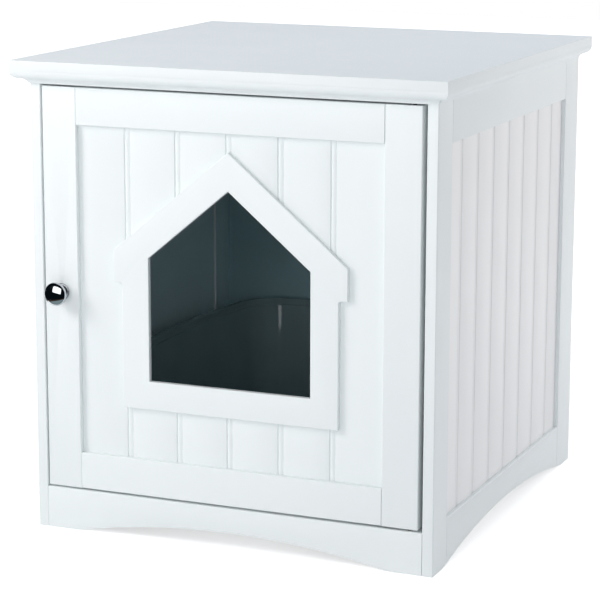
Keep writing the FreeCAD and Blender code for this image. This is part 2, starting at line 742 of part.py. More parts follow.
def door_stile(label, left):
    """A door stile in plan, with a groove in its inner edge and eased front edges."""
    body = new_body(label)
    outer, inner, way = (DOOR_LEFT, STILE_LEFT, 1) if left else (DOOR_RIGHT, STILE_RIGHT, -1)
    outline = [
        (f"{outer} + {way} * edge_ease", "0"), (f"{inner} - {way} * edge_ease", "0"), (inner, "edge_ease"),
        (inner, "door_panel_setback"), (f"{inner} - {way} * tongue_depth", "door_panel_setback"),
        (f"{inner} - {way} * tongue_depth", DOOR_PANEL_BACK), (inner, DOOR_PANEL_BACK),
        (inner, "door_thickness"), (outer, "door_thickness"), (outer, "edge_ease"),
    ]
    pad(body, "top", DOOR_LOW, DOOR_HIGH, outline)
    if left:
        screw_hole = "knob_screw_radius + fitting_play"
        drill(body, "front", "0", 1, "door_thickness", screw_hole, [(KNOB_X, "knob_height")])
    else:
        for face, toward in ((DOOR_LOW, 1), (DOOR_HIGH, -1)):
            drill(body, "top", face, toward, "pin_grip", "pin_radius", [(PIVOT_X, PIVOT_Y)])


def door_rail(label, top):
    """A door rail in section, with stub tenons in the stiles' grooves."""
    body = new_body(label)
    edge, outer, way = (RAIL_HIGH, DOOR_HIGH, 1) if top else (RAIL_LOW, DOOR_LOW, -1)
    shoulder = f"{edge} + {way} * tongue_depth"
    outline = [
        ("edge_ease", edge), ("door_panel_setback", edge), ("door_panel_setback", shoulder),
        (DOOR_PANEL_BACK, shoulder), (DOOR_PANEL_BACK, edge), ("door_thickness", edge),
        ("door_thickness", outer), ("edge_ease", outer), ("0", f"{outer} - {way} * edge_ease"),
        ("0", f"{edge} + {way} * edge_ease"),
    ]
    pad(body, "side", STILE_LEFT, STILE_RIGHT, outline)
    tenon = oblong("door_panel_setback", shoulder, DOOR_PANEL_BACK, outer)
    pad(body, "side", f"{STILE_LEFT} - {TONGUE}", STILE_LEFT, tenon)
    pad(body, "side", STILE_RIGHT, f"{STILE_RIGHT} + {TONGUE}", tenon)
    if top:
        screw = [(CATCH_X, CATCH_Z)]
        drill(body, "front", "door_thickness", -1, "wood_screw_grip", "wood_screw_radius", screw)


def house(grow):
    """The doorway's outline, grown all round: straight walls and a gable whose slopes stay parallel."""
    half = f"(doorway_width / 2 + {grow})"
    apex = f"({DOORWAY_PEAK} + {grow} * {SLOPE_STRETCH})"
    eave = f"{apex} - {SLOPE} * {half}"
    low = f"doorway_sill - {grow}"
    return [(f"-{half}", low), (half, low), (half, eave), ("0", apex), (f"-{half}", eave)]


def trim_outline():
    """The trim's outer edge: two legs, eaves that stand out past them, and the gable."""
    half = "(doorway_width / 2 + trim_band)"
    out = f"({half} + eave_overhang)"
    eave = f"({TRIM_PEAK} - {SLOPE} * {out})"
    drop = f"({eave} - eave_drop)"
    low = "doorway_sill - trim_band"
    corner = "eave_corner_radius"
    return [
        (f"-{half}", low), (half, low),
        (half, f"{drop} - {corner}", corner, -1), (f"{half} + {corner}", drop),
        (out, drop), (out, eave), ("0", TRIM_PEAK), (f"-{out}", eave), (f"-{out}", drop),
        (f"-{half} - {corner}", drop, corner, -1), (f"-{half}", f"{drop} - {corner}"),
    ]


def door_bead_panel():
    body = new_body("door_bead_panel")
    low, high = f"{RAIL_LOW} - {TONGUE}", f"{RAIL_HIGH} + {TONGUE}"
    face = "door_panel_setback"
    outline = oblong(f"({STILE_LEFT} - {TONGUE})", face, f"({STILE_RIGHT} + {TONGUE})", DOOR_PANEL_BACK)
    pad(body, "top", low, high, outline)
    first = f"(({STILE_LEFT} + {STILE_RIGHT}) / 2 - door_bead_pitch * (door_bead_count - 1) / 2)"
    outline = bead_outline(first, face, -1, True)
    cut_beads(body, outline, low, high, "X_Axis", "door_bead_pitch", "door_bead_count")
    cut(body, "front", face, DOOR_PANEL_BACK, house("hole_setback"))


def doorway_trim():
    body = new_body("doorway_trim")
    face = "(door_panel_setback - trim_thickness)"
    pad(body, "front", face, "door_panel_setback", trim_outline(), house("0"))
    front = number(face)
    round_edges(body, "trim_edge_bevel", lambda box: box.YMax < front + 1e-3, "Chamfer")


# Knob, pivots and catch


def knob():
    """A turned mushroom knob: domed face, rounded back, straight neck and a blind threaded bore."""
    body = new_body("knob", x=KNOB_X, z="knob_height")
    cap = "(knob_projection - knob_rim)"
    dome = f"(knob_radius^2 + {cap}^2) / (2 * {cap})"
    outline = [
        ("0", "-knob_projection", dome, 1),
        ("knob_radius", "-knob_rim", "knob_back_radius", 1),
        ("knob_neck_radius", "-knob_neck_top"),
        ("knob_neck_radius", "-rosette_thickness"),
        ("knob_screw_radius", "-rosette_thickness"),
        ("knob_screw_radius", "-(rosette_thickness + knob_screw_depth + fitting_play)"),
        ("0", "-(rosette_thickness + knob_screw_depth + fitting_play)"),
    ]
    revolve(body, outline, "V_Axis", plane="top")


def knob_rosette():
    body = new_body("knob_rosette", x=KNOB_X, z="knob_height")
    outline = [
        ("knob_screw_radius + fitting_play", "0"),
        ("rosette_radius", "0"),
        ("rosette_radius", "rosette_round - rosette_thickness", "rosette_round", -1),
        ("rosette_radius - rosette_round", "-rosette_thickness"),
        ("knob_screw_radius + fitting_play", "-rosette_thickness"),
    ]
    revolve(body, outline, "V_Axis", plane="top")


def knob_screw():
    body = new_body("knob_screw", x=KNOB_X, z="knob_height")
    head = "knob_screw_head_radius"
    tip = "-(rosette_thickness + knob_screw_depth)"
    back = "door_thickness"
    outline = [
        ("0", tip), ("knob_screw_radius", tip), ("knob_screw_radius", back), (head, back),
        (head, f"{back} + knob_screw_head_height / 2"), (f"{head} / 2", f"{back} + knob_screw_head_height"),
        ("0", f"{back} + knob_screw_head_height"),
    ]
    revolve(body, outline, "V_Axis", plane="top")


def pivot_pin(label, lower):
    """A steel pin held in the door's end; its free end turns in the bush."""
    door_end, way = (DOOR_LOW, -1) if lower else (DOOR_HIGH, 1)
    bush_mouth = "apron_height" if lower else "body_height"
    body = new_body(label, x=PIVOT_X, y=PIVOT_Y)
    held = f"{door_end} - {way} * pin_grip"
    free = f"{bush_mouth} + {way} * bush_depth"
    outline = [
        ("0", held), ("pin_radius", held), ("pin_radius", f"{free} - {way} * pin_bevel"),
        ("pin_radius - pin_bevel", free), ("0", free),
    ]
    revolve(body, outline, "V_Axis")


def pivot_bush(label, lower):
    """A nylon bush, flush in its board, with a closed end that the lower pin stands on."""
    mouth, way = ("apron_height", -1) if lower else ("body_height", 1)
    body = new_body(label, x=PIVOT_X, y=PIVOT_Y)
    bore = "pin_radius + running_clearance"
    outer = f"{bore} + bush_wall"
    depth = "bush_depth" if lower else "(bush_depth + pin_end_play)"
    outline = [
        (bore, mouth), (outer, mouth), (outer, f"{mouth} + {way} * (bush_depth + bush_floor)"),
        ("0", f"{mouth} + {way} * (bush_depth + bush_floor)"), ("0", f"{mouth} + {way} * {depth}"),
        (bore, f"{mouth} + {way} * {depth}"),
    ]
    revolve(body, outline, "V_Axis")


def catch_housing():
    body = new_body("catch_housing", x=CATCH_X)
    half = "catch_length / 2"
    front = f"({STRIKE_FACE} + catch_setback)"
    low = "body_height - catch_height"
    pad(body, "top", low, "body_height", oblong(f"-{half}", front, half, f"{front} + catch_depth"))
    pile = "(magnet_height / 2 + pole_thickness)"
    slot = oblong("-magnet_length / 2", f"{CATCH_Z} - {pile}", "magnet_length / 2", f"{CATCH_Z} + {pile}")
    cut(body, "front", front, f"{STRIKE_FACE} + pole_depth", slot)
    screws = [(f"{sign}catch_screw_spacing / 2", catch_middle_y()) for sign in ("", "-")]
    drill(body, "top", low, 1, "catch_height", SCREW_HOLE, screws)


def catch_magnet():
    body = new_body("catch_magnet", x=CATCH_X)
    half = "magnet_length / 2"
    front = f"{STRIKE_FACE} + catch_setback"
    outline = oblong(f"-{half}", front, half, f"{STRIKE_FACE} + pole_depth")
    pad(body, "top", f"{CATCH_Z} - magnet_height / 2", f"{CATCH_Z} + magnet_height / 2", outline)


def catch_pole_plates():
    """Two steel plates, above and below the magnet, whose front edges meet the strike plate."""
    body = new_body("catch_pole_plates", x=CATCH_X)
    half = "magnet_length / 2"
    outline = oblong(f"-{half}", STRIKE_FACE, half, f"{STRIKE_FACE} + pole_depth")
    high = f"{CATCH_Z} - magnet_height / 2"
    pad(body, "top", f"{high} - pole_thickness", high, outline)
    repeat(body, "Z_Axis", "magnet_height + pole_thickness", 2)


def catch_screws():
    body = new_body("catch_screws", x=CATCH_X)
    low = "(body_height - catch_height)"
    head = "wood_screw_head_radius"
    outline = [
        ("0", f"{low} - wood_screw_head_height"), (f"{head} / 2", f"{low} - wood_screw_head_height"),
        (head, f"{low} - wood_screw_head_height / 2"), (head, low), ("wood_screw_radius", low),
        ("wood_screw_radius", "body_height + wood_screw_grip - wood_screw_radius"),
        ("0", "body_height + wood_screw_grip"),
    ]
    revolve(body, outline, "V_Axis", origin=("catch_screw_spacing / 2", "0"), at=catch_middle_y())
    mirror(body)


def strike_plate():
    body = new_body("strike_plate", x=CATCH_X)
    half, rise = "strike_length / 2", "strike_height / 2"
    outline = oblong(f"-{half}", f"{CATCH_Z} - {rise}", half, f"{CATCH_Z} + {rise}")
    pad(body, "front", "door_thickness", STRIKE_FACE, outline)
    sketch = new_sketch(body, "side", origin=("0", CATCH_Z))
    draw_outline(sketch, [
        ("door_thickness", "0"), ("door_thickness", "wood_screw_radius"),
        (STRIKE_FACE, "wood_screw_head_radius"), (STRIKE_FACE, "0"),
    ])
    before = body.Tip
    sink = body.newObject("PartDesign::Groove", "strike_plate_sink")
    sink.Profile = sketch
    sink.ReferenceAxis = (sketch, ["H_Axis"])
    sink.Angle = 360
    cuts.append((sink, before))


def strike_screw():
    body = new_body("strike_screw", x=CATCH_X, z=CATCH_Z)
    outline = [
        (STRIKE_FACE, "0"), (STRIKE_FACE, "wood_screw_head_radius"), ("door_thickness", "wood_screw_radius"),
        ("door_thickness - wood_screw_grip + wood_screw_radius", "wood_screw_radius"),
        ("door_thickness - wood_screw_grip", "0"),
    ]
    revolve(body, outline, "H_Axis", plane="side")


# Knock-down fittings. A bolt grips one board; its head sits in a cam disc in the other.


def bolt_outline(along_x):
    """A cam bolt in section: its threaded part on the plus side of the joint face, the rest on the minus."""
    neck = "(cam_distance - cam_bolt_neck_length - cam_bolt_head_length / 2)"
    head = "(cam_distance - cam_bolt_head_length / 2)"
    tip = "(cam_distance + cam_bolt_head_length / 2)"
    run = [
        ("cam_bolt_grip", "0"), ("cam_bolt_grip", "cam_bolt_radius"), (f"-{neck}", "cam_bolt_radius"),
        (f"-{neck}", "cam_bolt_neck_radius"), (f"-{head}", "cam_bolt_neck_radius"),
        (f"-{head}", "cam_bolt_radius"), (f"-{tip}", "cam_bolt_radius"), (f"-{tip}", "0"),
    ]
    return run if along_x else [(second, first) for first, second in run]


def cam_bolts(label, origin, at, along_x=True, row=None):
    body = new_body(label)
    revolve(body, bolt_outline(along_x), "H_Axis" if along_x else "V_Axis", origin=origin, at=at)
    if row:
        repeat(body, row[0], row[1], 2)
    mirror(body)


def cam_discs(label, plane, face, toward, origin, board, slot_up=False, row=None):
    """Round cams, let into a board's face. A slot from the hidden end takes the bolt's head, and a cross
    in the open end takes the screwdriver."""
    body = new_body(label)
    low = face if toward > 0 else f"({face} - cam_depth)"
    sketch = new_sketch(body, plane, low, origin)
    draw_circles(sketch, [("0", "0")], "cam_radius")
    pad_sketch(body, plane, sketch, "cam_depth")
    end = "(cam_bolt_head_length / 2 + cam_wall_behind)"
    slot = oblong(f"-{end}", f"-{BOLT_HOLE}", "cam_radius + cam_wall_behind", BOLT_HOLE)
    if slot_up:
        slot = [(second, first) for first, second in slot]
    hidden = f"{face} + {toward} * cam_depth"
    sketch = new_sketch(body, plane, hidden, origin)
    draw_outline(sketch, slot)
    pocket_sketch(body, plane, sketch, f"cam_depth - {board} / 2 + {BOLT_HOLE}", -toward)
    arm, thin = "cam_recess_length / 2", "cam_recess_width / 2"
    cross = [
        (f"-{arm}", f"-{thin}"), (f"-{thin}", f"-{thin}"), (f"-{thin}", f"-{arm}"), (thin, f"-{arm}"),
        (thin, f"-{thin}"), (arm, f"-{thin}"), (arm, thin), (thin, thin), (thin, arm), (f"-{thin}", arm),
        (f"-{thin}", thin), (f"-{arm}", thin),
    ]
    sketch = new_sketch(body, plane, face, origin)
    draw_outline(sketch, cross)
    pocket_sketch(body, plane, sketch, "cam_recess_depth", toward)
    if row:
        repeat(body, row[0], row[1], 2)
    mirror(body)


def knock_down_fittings():
    """Two bolts and cams a side for the floor, back and top, and one a side for the apron."""
    cam_x = f"{INNER} - cam_distance"
    top_cam_z = f"{FRAME_TOP} - cam_distance"
    floor_row = ("Y_Axis", "body_depth - 2 * floor_fixing_inset")
    back_row = ("Z_Axis", "back_fixing_high - back_fixing_low")
    top_row = ("Y_Axis", "body_depth - 2 * top_fixing_inset")
    back_y = "body_depth - back_thickness / 2"
    cam_bolts("floor_cam_bolts", (INNER, floor_middle()), "floor_fixing_inset", row=floor_row)
    cam_bolts("back_cam_bolts", (INNER, "back_fixing_low"), back_y, row=back_row)
    cam_bolts("apron_cam_bolts", (INNER, "apron_fixing_height"), "apron_thickness / 2")
    cam_bolts("top_cam_bolts", (SIDE_MIDDLE, FRAME_TOP), "top_fixing_inset", along_x=False, row=top_row)
    cam_discs("floor_cams", "top", "(apron_height - floor_thickness)", 1, (cam_x, "floor_fixing_inset"),
              "floor_thickness", row=floor_row)
    cam_discs("back_cams", "front", "body_depth", -1, (cam_x, "back_fixing_low"), "back_thickness",
              row=back_row)
    cam_discs("apron_cams", "front", "apron_thickness", -1, (cam_x, "apron_fixing_height"), "apron_thickness")
    cam_discs("top_cams", "side", INNER, 1, ("top_fixing_inset", top_cam_z), "frame_thickness", slot_up=True,
              row=top_row)


def top_dowels():
    body = new_body("top_dowels")
    end, low = "dowel_depth", "dowel_depth - dowel_length"
    outline = [("0", low), ("dowel_radius", low), ("dowel_radius", end), ("0", end)]
    revolve(body, outline, "V_Axis", origin=(SIDE_MIDDLE, FRAME_TOP), at="dowel_inset")
    repeat(body, "Y_Axis", "body_depth - 2 * dowel_inset", 2)
    mirror(body)


def header_dowels():
    body = new_body("header_dowels")
    end, low = "dowel_depth", "dowel_depth - dowel_length"
    y, z = header_dowel_place()
    outline = [(low, "0"), (low, "dowel_radius"), (end, "dowel_radius"), (end, "0")]
    revolve(body, outline, "H_Axis", origin=(INNER, z), at=y)
    mirror(body)


# Litter tray


def litter_tray():
    """A moulded tray with bowed sides and tapered walls; its rim turns out and down, and a small step inside
    leads from the rim to the wall."""
    body = new_body("litter_tray", y=f"({TRAY_FRONT} + {TRAY_REAR}) / 2", z="apron_height")
    wall_top = "(-rim_width - rim_step_width)"
    wall_low = f"({wall_top} - tray_taper)"
    rim_low = "tray_height - rim_step_height - tray_wall"
    loft = body.newObject("PartDesign::AdditiveLoft", "tray_shell")
    loft.Profile, loft.Sections = tray_sections(body, ("0", f"{wall_low} + tray_wall"),
                                                (rim_low, f"{wall_top} + tray_wall"))
    document.recompute()
    rim = new_sketch(body, "top", rim_low)
    draw_tray_outline(rim, "0")
    pad_sketch(body, "top", rim, "rim_step_height + tray_wall")
    under = new_sketch(body, "top", rim_low)
    draw_tray_outline(under, "(-rim_skirt)")
    draw_tray_outline(under, "(tray_wall - rim_width)")
    pocket_sketch(body, "top", under, "rim_step_height", 1)
    document.recompute()
    before = body.Tip
    hollow = body.newObject("PartDesign::SubtractiveLoft", "tray_hollow")
    hollow.Profile, hollow.Sections = tray_sections(body, ("tray_wall", wall_low),
                                                    ("tray_height - rim_step_height", wall_top))
    body.Tip = hollow
    cuts.append((hollow, before))
    mouth = new_sketch(body, "top", "tray_height")
    draw_tray_outline(mouth, "(-rim_width)")
    pocket_sketch(body, "top", mouth, "rim_step_height", -1)
    document.recompute()
    inside = number("tray_wall")
    high = number("tray_height")
    round_edges(body, "tray_foot_round", lambda box: box.ZMax < 1e-3)
    round_edges(body, "tray_foot_round - tray_wall",
                lambda box: abs(box.ZMin - inside) + abs(box.ZMax - inside) < 1e-3)
    round_edges(body, "rim_round", lambda box: box.ZMin > high - 1e-3)


def tray_sections(body, *levels):
    """The first outline of a loft, and the list of those above it."""
    sketches = []
    for level, grow in levels:
        sketch = new_sketch(body, "top", level)
        draw_tray_outline(sketch, grow)
        sketches.append(sketch)
    return sketches[0], sketches[1:]


def build():
    fill_sheet()
    top_board()
    front_cornice()
    header_rail()
    for name, side in (("left", -1), ("right", 1)):
        side_cornice(f"{name}_cornice", side)
        side_stile(f"{name}_front_stile", side, True)
        side_stile(f"{name}_rear_stile", side, False)
        side_top_rail(f"{name}_top_rail", side)
        side_bottom_rail(f"{name}_bottom_rail", side)
        side_bead_panel(f"{name}_bead_panel", side)
    back_panel()
    floor_board()
    front_apron()
    door_stile("door_left_stile", True)
    door_stile("door_right_stile", False)
    door_rail("door_top_rail", True)
    door_rail("door_bottom_rail", False)
    door_bead_panel()
    doorway_trim()
    knob()
    knob_rosette()
    knob_screw()
    for name, lower in (("lower", True), ("upper", False)):
        pivot_pin(f"{name}_pivot_pin", lower)
        pivot_bush(f"{name}_pivot_bush", lower)
    catch_housing()
    catch_magnet()
    catch_pole_plates()
    catch_screws()
    strike_plate()
    strike_screw()
    knock_down_fittings()
    top_dowels()
    header_dowels()
    litter_tray()
    document.recompute()


def check():
    """Stops if a feature failed, a piece is not a sound solid, or a cut took nothing away."""
    for thing in document.Objects:
        if "Invalid" in thing.State or "Error" in thing.State:
            raise RuntimeError(f"{thing.Name} failed: {thing.State}")
    for feature, before in cuts:
        if feature.Shape.Volume > before.Shape.Volume - 1e-6:
            raise RuntimeError(f"{feature.Name} cuts nothing")
    for body in bodies():
        if body.Shape.isNull() or not body.Shape.isValid() or not body.Shape.Solids:
            raise RuntimeError(f"{body.Label} is not a sound solid")


def bodies():
    return [thing for thing in document.Objects if thing.TypeId == "PartDesign::Body"]


build()
check()
os.makedirs("parts", exist_ok=True)
for piece in bodies():
    piece.Shape.exportStep(f"parts/{piece.Label}.step")
    print(f"{piece.Label}: {len(piece.Shape.Solids)} solid, {piece.Shape.Volume / 1000:.1f} cm3")
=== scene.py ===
# %% [markdown]
# # A white bead-board cabinet for a cat's litter tray
#
# The cabinet is a knock-down piece of furniture: lacquered fibreboard frames with grooved panels, a moulded
# top, feet cut out of long low arches, and one door with a house-shaped doorway. A glossy plastic tray stands
# inside. The imported model gives every piece its place, in metres. This lesson dresses it.
#
# The first cell loads that model as a frame that never moves, and prints how many pieces it has.

# %% Load the frame
import json
import math

import bmesh
import bpy
import numpy as np
from mathutils import Matrix, Vector


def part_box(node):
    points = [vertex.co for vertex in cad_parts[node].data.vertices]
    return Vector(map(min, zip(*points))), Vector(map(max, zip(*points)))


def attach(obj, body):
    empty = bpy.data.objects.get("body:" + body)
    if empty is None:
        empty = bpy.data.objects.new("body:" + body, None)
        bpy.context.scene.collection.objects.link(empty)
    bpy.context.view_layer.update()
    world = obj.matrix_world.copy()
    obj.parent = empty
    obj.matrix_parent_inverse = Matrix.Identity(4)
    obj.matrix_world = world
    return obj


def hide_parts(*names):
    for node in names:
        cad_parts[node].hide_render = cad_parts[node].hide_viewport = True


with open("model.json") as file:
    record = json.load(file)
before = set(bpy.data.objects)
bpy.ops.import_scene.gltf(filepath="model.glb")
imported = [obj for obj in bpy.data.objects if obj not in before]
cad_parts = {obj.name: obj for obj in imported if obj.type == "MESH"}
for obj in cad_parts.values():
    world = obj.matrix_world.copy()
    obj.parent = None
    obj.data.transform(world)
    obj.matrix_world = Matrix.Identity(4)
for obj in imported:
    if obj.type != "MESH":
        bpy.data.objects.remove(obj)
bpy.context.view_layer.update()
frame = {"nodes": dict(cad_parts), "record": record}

nodes = frame["nodes"]
body_of = {name: body for body, names in frame["record"]["behaviour"]["bodies"].items() for name in names}
MM = 0.001
print("pieces in the frame:", len(nodes))

# %% [markdown]
# ## Two helpers for materials
#
# A finish is a small graph of shader nodes. It could be drawn by hand in the node editor, but a script is read and
# repeated more easily. A colour on a screen is written in sRGB, and Cycles counts in linear light, so one function
# turns a hex value into linear numbers. A second one adds a shader node with its settings and links in one line,
# which keeps each material short enough to read.


# %% Colours and shader nodes
def linear(hex_code):
    """sRGB hex to linear light: each channel is divided by 12.92 near black, and is a power of 2.4 above."""
    channels = np.array([int(hex_code[i : i + 2], 16) for i in (1, 3, 5)]) / 255
    light = np.where(channels <= 0.04045, channels / 12.92, ((channels + 0.055) / 1.055) ** 2.4)
    return (*light.tolist(), 1.0)


def add(tree, kind, inputs=(), **settings):
    """Adds a node. An input is given by its name or number, as a value or as the output that it comes from."""
    node = tree.nodes.new("ShaderNode" + kind)
    for name, value in settings.items():
        setattr(node, name, value)
    for name, value in dict(inputs).items():
        if isinstance(value, bpy.types.NodeSocket):
            tree.links.new(value, node.inputs[name])
        else:
            node.inputs[name].default_value = value
    return node


def new_material(name):
    """An empty material, its node tree and the position of a point on the piece, in metres."""
    material = bpy.data.materials.new(name)
    material.use_nodes = True
    tree = material.node_tree
    tree.nodes.clear()
    return material, tree, add(tree, "TexCoord").outputs["Object"]


def finish_material(tree, surface):
    """Links a shader to the material's output."""
    add(tree, "OutputMaterial", {"Surface": surface.outputs[0]})


def noise(tree, where, cell_mm, detail=2.0, roughness=0.5):
    """A cloudy pattern whose blobs are about cell_mm across: the scale is cells per metre."""
    return add(tree, "TexNoise", {"Vector": where, "Scale": 1 / (cell_mm * MM), "Detail": detail,
                                  "Roughness": roughness}).outputs["Fac"]


def ramp(tree, value, low, high, color=False):
    """Maps a pattern's 0 to 1 onto low to high, as numbers or as two colours."""
    if color:
        return add(tree, "Mix", {0: value, 6: low, 7: high}, data_type="RGBA").outputs[2]
    return add(tree, "MapRange", {"Value": value, "To Min": low, "To Max": high}).outputs["Result"]


def bump(tree, height, depth_mm):
    """A pattern's 0 to 1 as a relief that is depth_mm deep."""
    return add(tree, "Bump", {"Height": height, "Distance": depth_mm * MM, "Strength": 1.0}).outputs["Normal"]


# %% [markdown]
# ## White satin lacquer on fibreboard
#
# The boards are medium-density fibreboard, primed, sanded and sprayed with white lacquer. Fibreboard has no
# grain, so what the eye gets is a smooth cool white with a soft sheen. Close up, sprayed lacquer has orange
# peel, a shallow dimpling with cells of about a millimetre. The film's thickness also drifts by a little over
# a hand's breadth, and with it the tone and the sheen. A picture of lacquer could give that too, but it would
# need a file and a layout on every piece. Three noise patterns of those real sizes need neither.
#
# The grooved side panels are sprayed apart from their frames, and their white is neutral where the frames' is
# cool. Inside, the boards have primer alone: a more matt, pale blue-grey, darkened as painted shade for the dim
# inside of the cabinet, and darkest, with the deepest painted shade, on the back panel.


# %% Lacquer
def lacquer(name, pale, deep, sheen=(0.42, 0.52), peel_mm=0.012):
    """The tone drifts over 90 mm and the sheen over 35 mm, and the orange peel has cells of 1.3 mm."""
    material, tree, where = new_material(name)
    drift = noise(tree, where, 90, 3)
    color = ramp(tree, drift, linear(deep), linear(pale), color=True)
    peel = noise(tree, where, 1.3, 1.5)
    patch = noise(tree, where, 35, 4)
    surface = add(tree, "BsdfPrincipled", {
        "Base Color": color, "Roughness": ramp(tree, patch, *sheen), "Specular IOR Level": 0.35,
        "Normal": bump(tree, peel, peel_mm)})
    finish_material(tree, surface)
    return material


white_lacquer = lacquer("white_satin_lacquer_on_fibreboard", "#F1F6F6", "#ECF2F3")
panel_lacquer = lacquer("white_lacquer_on_grooved_sides", "#F9F9F9", "#F6F6F6")
# The two primers are a blue-grey tint darkened as painted shade for the dim inside; the back's is darkest, painted
# deeper shade.
primer_with_painted_shade = lacquer("blue_grey_primer_with_painted_shade", "#DCF2F7", "#D4ECF2", sheen=(0.5, 0.62), peel_mm=0.02)
back_primer_with_painted_shade = lacquer("back_primer_darkened_as_painted_shade", "#A5C5CC", "#9DBEC6", sheen=(0.5, 0.62), peel_mm=0.02)
print("made", white_lacquer.name, panel_lacquer.name, primer_with_painted_shade.name, back_primer_with_painted_shade.name)

# %% [markdown]
# ## The metals
#
# The knob is turned brass under bright chromium, which mirrors the room, with only the finest buffing marks.
# Screws, bolts and the lower pin are steel with a thin zinc plate: paler, a little blue, and blurred by its
# crystals. The upper pin is steel painted dark, as painted shade, so the shaded gap above the door shows no bright
# pin. The cam discs are zinc, cast in a die, which leaves them duller and slightly mottled. One even roughness would
# make each of them a perfect blur. A pattern on the roughness, of the size of the buffing marks or crystals, breaks
# that up. Each one is metallic, keeps the default IOR, and differs in roughness and in its pattern's size.


# %% Metals
def plated(name, pale, deep, sheen, grain_mm, grain_depth_mm):
    """Metal whose roughness and relief follow a grain, under clouds of tone that are six grains across."""
    material, tree, where = new_material(name)
    grain = noise(tree, where, grain_mm, 4, 0.6)
    color = ramp(tree, noise(tree, where, 6 * grain_mm), linear(deep), linear(pale), color=True)
    surface = add(tree, "BsdfPrincipled", {
        "Base Color": color, "Metallic": 1.0, "Roughness": ramp(tree, grain, *sheen),
        "Normal": bump(tree, grain, grain_depth_mm)})
    finish_material(tree, surface)
    return material


chrome = plated("bright_chromium_plate", "#D3D5D9", "#C9CCD1", (0.02, 0.05), 1.2, 0.0004)
zinc_steel = plated("zinc_plated_steel", "#BFC3C6", "#A5A9AB", (0.22, 0.36), 0.6, 0.004)
cast_zinc = plated("die_cast_zinc", "#A2A4A5", "#8B8D8E", (0.38, 0.55), 0.9, 0.012)
# Dark steel for the upper pin: painted shade, so no bright pin shows in the shaded gap above the door.
steel_darkened_as_painted_shade = plated("steel_darkened_as_painted_shade", "#3B3D40", "#2E3033", (0.35, 0.50), 0.6, 0.004)
print("made", chrome.name, zinc_steel.name, cast_zinc.name, steel_darkened_as_painted_shade.name)

# %% [markdown]
# ## The plastics and the magnet
#
# The tray is grey polypropylene, moulded against a polished tool: glossy, with a faint ripple, 12 mm across,
# where the melt cooled. Bushes are natural nylon, waxy and a little translucent to look at, so they are a warm
# off-white. The catch's housing is white ABS with a fine spark-eroded grain. Its magnet is sintered ferrite,
# black and matt like slate. Real translucency could be added to the nylon, but its few visible millimetres
# wouldn't show it, so all four share one recipe and differ in gloss, grain and tone.


# %% Plastics and ferrite
def moulded(name, pale, deep, sheen, grain_mm, grain_depth_mm, cloud_mm=40):
    """A relief as coarse as the mould's own grain, with clouds of tone and of gloss on top."""
    material, tree, where = new_material(name)
    grain = noise(tree, where, grain_mm, 3)
    color = ramp(tree, noise(tree, where, cloud_mm), linear(deep), linear(pale), color=True)
    surface = add(tree, "BsdfPrincipled", {
        "Base Color": color, "Roughness": ramp(tree, noise(tree, where, cloud_mm / 2, 4), *sheen), "IOR": 1.49,
        "Normal": bump(tree, grain, grain_depth_mm)})
    finish_material(tree, surface)
    return material


tray_plastic = moulded("grey_polypropylene", "#8A9EA3", "#81969C", (0.05, 0.09), 12, 0.015)
nylon = moulded("natural_nylon", "#EFEDE4", "#E6E3D8", (0.38, 0.46), 0.8, 0.004)
catch_plastic = moulded("spark_eroded_white_abs", "#F1F2F1", "#EAEBEA", (0.45, 0.55), 0.5, 0.02)
ferrite = moulded("sintered_ferrite", "#2B2C2E", "#202123", (0.62, 0.75), 0.7, 0.02, cloud_mm=8)
print("made", tray_plastic.name, nylon.name, catch_plastic.name, ferrite.name)

# %% [markdown]
# ## Beech dowels
#
# The dowels are turned from beech, a pale brown wood whose fine pores are drawn out along the grain. Rings and
# rays could be drawn as well, but on a dowel this thin only the pores would show. So a noise is stretched along
# one axis, and the header's dowels, which lie level, get a second material whose grain lies level too.


# %% Beech
def beech_wood(name, axis):
    """Stretched noise: the pores are about 0.3 mm wide and fifteen times as long, along one axis."""
    material, tree, where = new_material(name)
    squeeze = [1.0, 1.0, 1.0]
    squeeze[axis] = 1 / 15
    along = add(tree, "Mapping", {"Vector": where, "Scale": squeeze}).outputs["Vector"]
    pores = noise(tree, along, 0.35, 3)
    color = ramp(tree, noise(tree, along, 1.6, 3), linear("#B98D5E"), linear("#D2AD80"), color=True)
    surface = add(tree, "BsdfPrincipled", {
        "Base Color": color, "Roughness": ramp(tree, pores, 0.55, 0.75), "Normal": bump(tree, pores, 0.04)})
    finish_material(tree, surface)
    return material


beech_upright = beech_wood("beech_upright_grain", 2)
beech_level = beech_wood("beech_level_grain", 0)
print("made", beech_upright.name, beech_level.name)

# %% [markdown]
# ## Which finish goes where
#
# The record names a material slot for every node, such as white paint or steel. Each node could be dressed by
# hand, but a table from slot to finish can't forget one. The few nodes that differ from their slot follow it.

# %% Finishes by slot
finish_of_slot = {
    "white_paint": white_lacquer, "chrome": chrome, "steel": zinc_steel, "zinc": cast_zinc, "nylon": nylon,
    "catch_plastic": catch_plastic, "ferrite": ferrite, "beech": beech_upright, "tray_plastic": tray_plastic,
}
slot_of = {part["node"]: part["material_slot"] for part in frame["record"]["subparts"]}
finish_of = {name: finish_of_slot[slot] for name, slot in slot_of.items()}
finish_of["header_dowels"] = beech_level
# The upper pin gets steel painted dark, as painted shade.
finish_of["upper_pivot_pin"] = steel_darkened_as_painted_shade
finish_of["left_bead_panel"] = finish_of["right_bead_panel"] = panel_lacquer


def dress(piece, material):
    """Gives a piece one material."""
    piece.data.materials.clear()
    piece.data.materials.append(material)


for name, piece in nodes.items():
    dress(piece, finish_of[name])
print("finishes given to", len(nodes), "nodes")

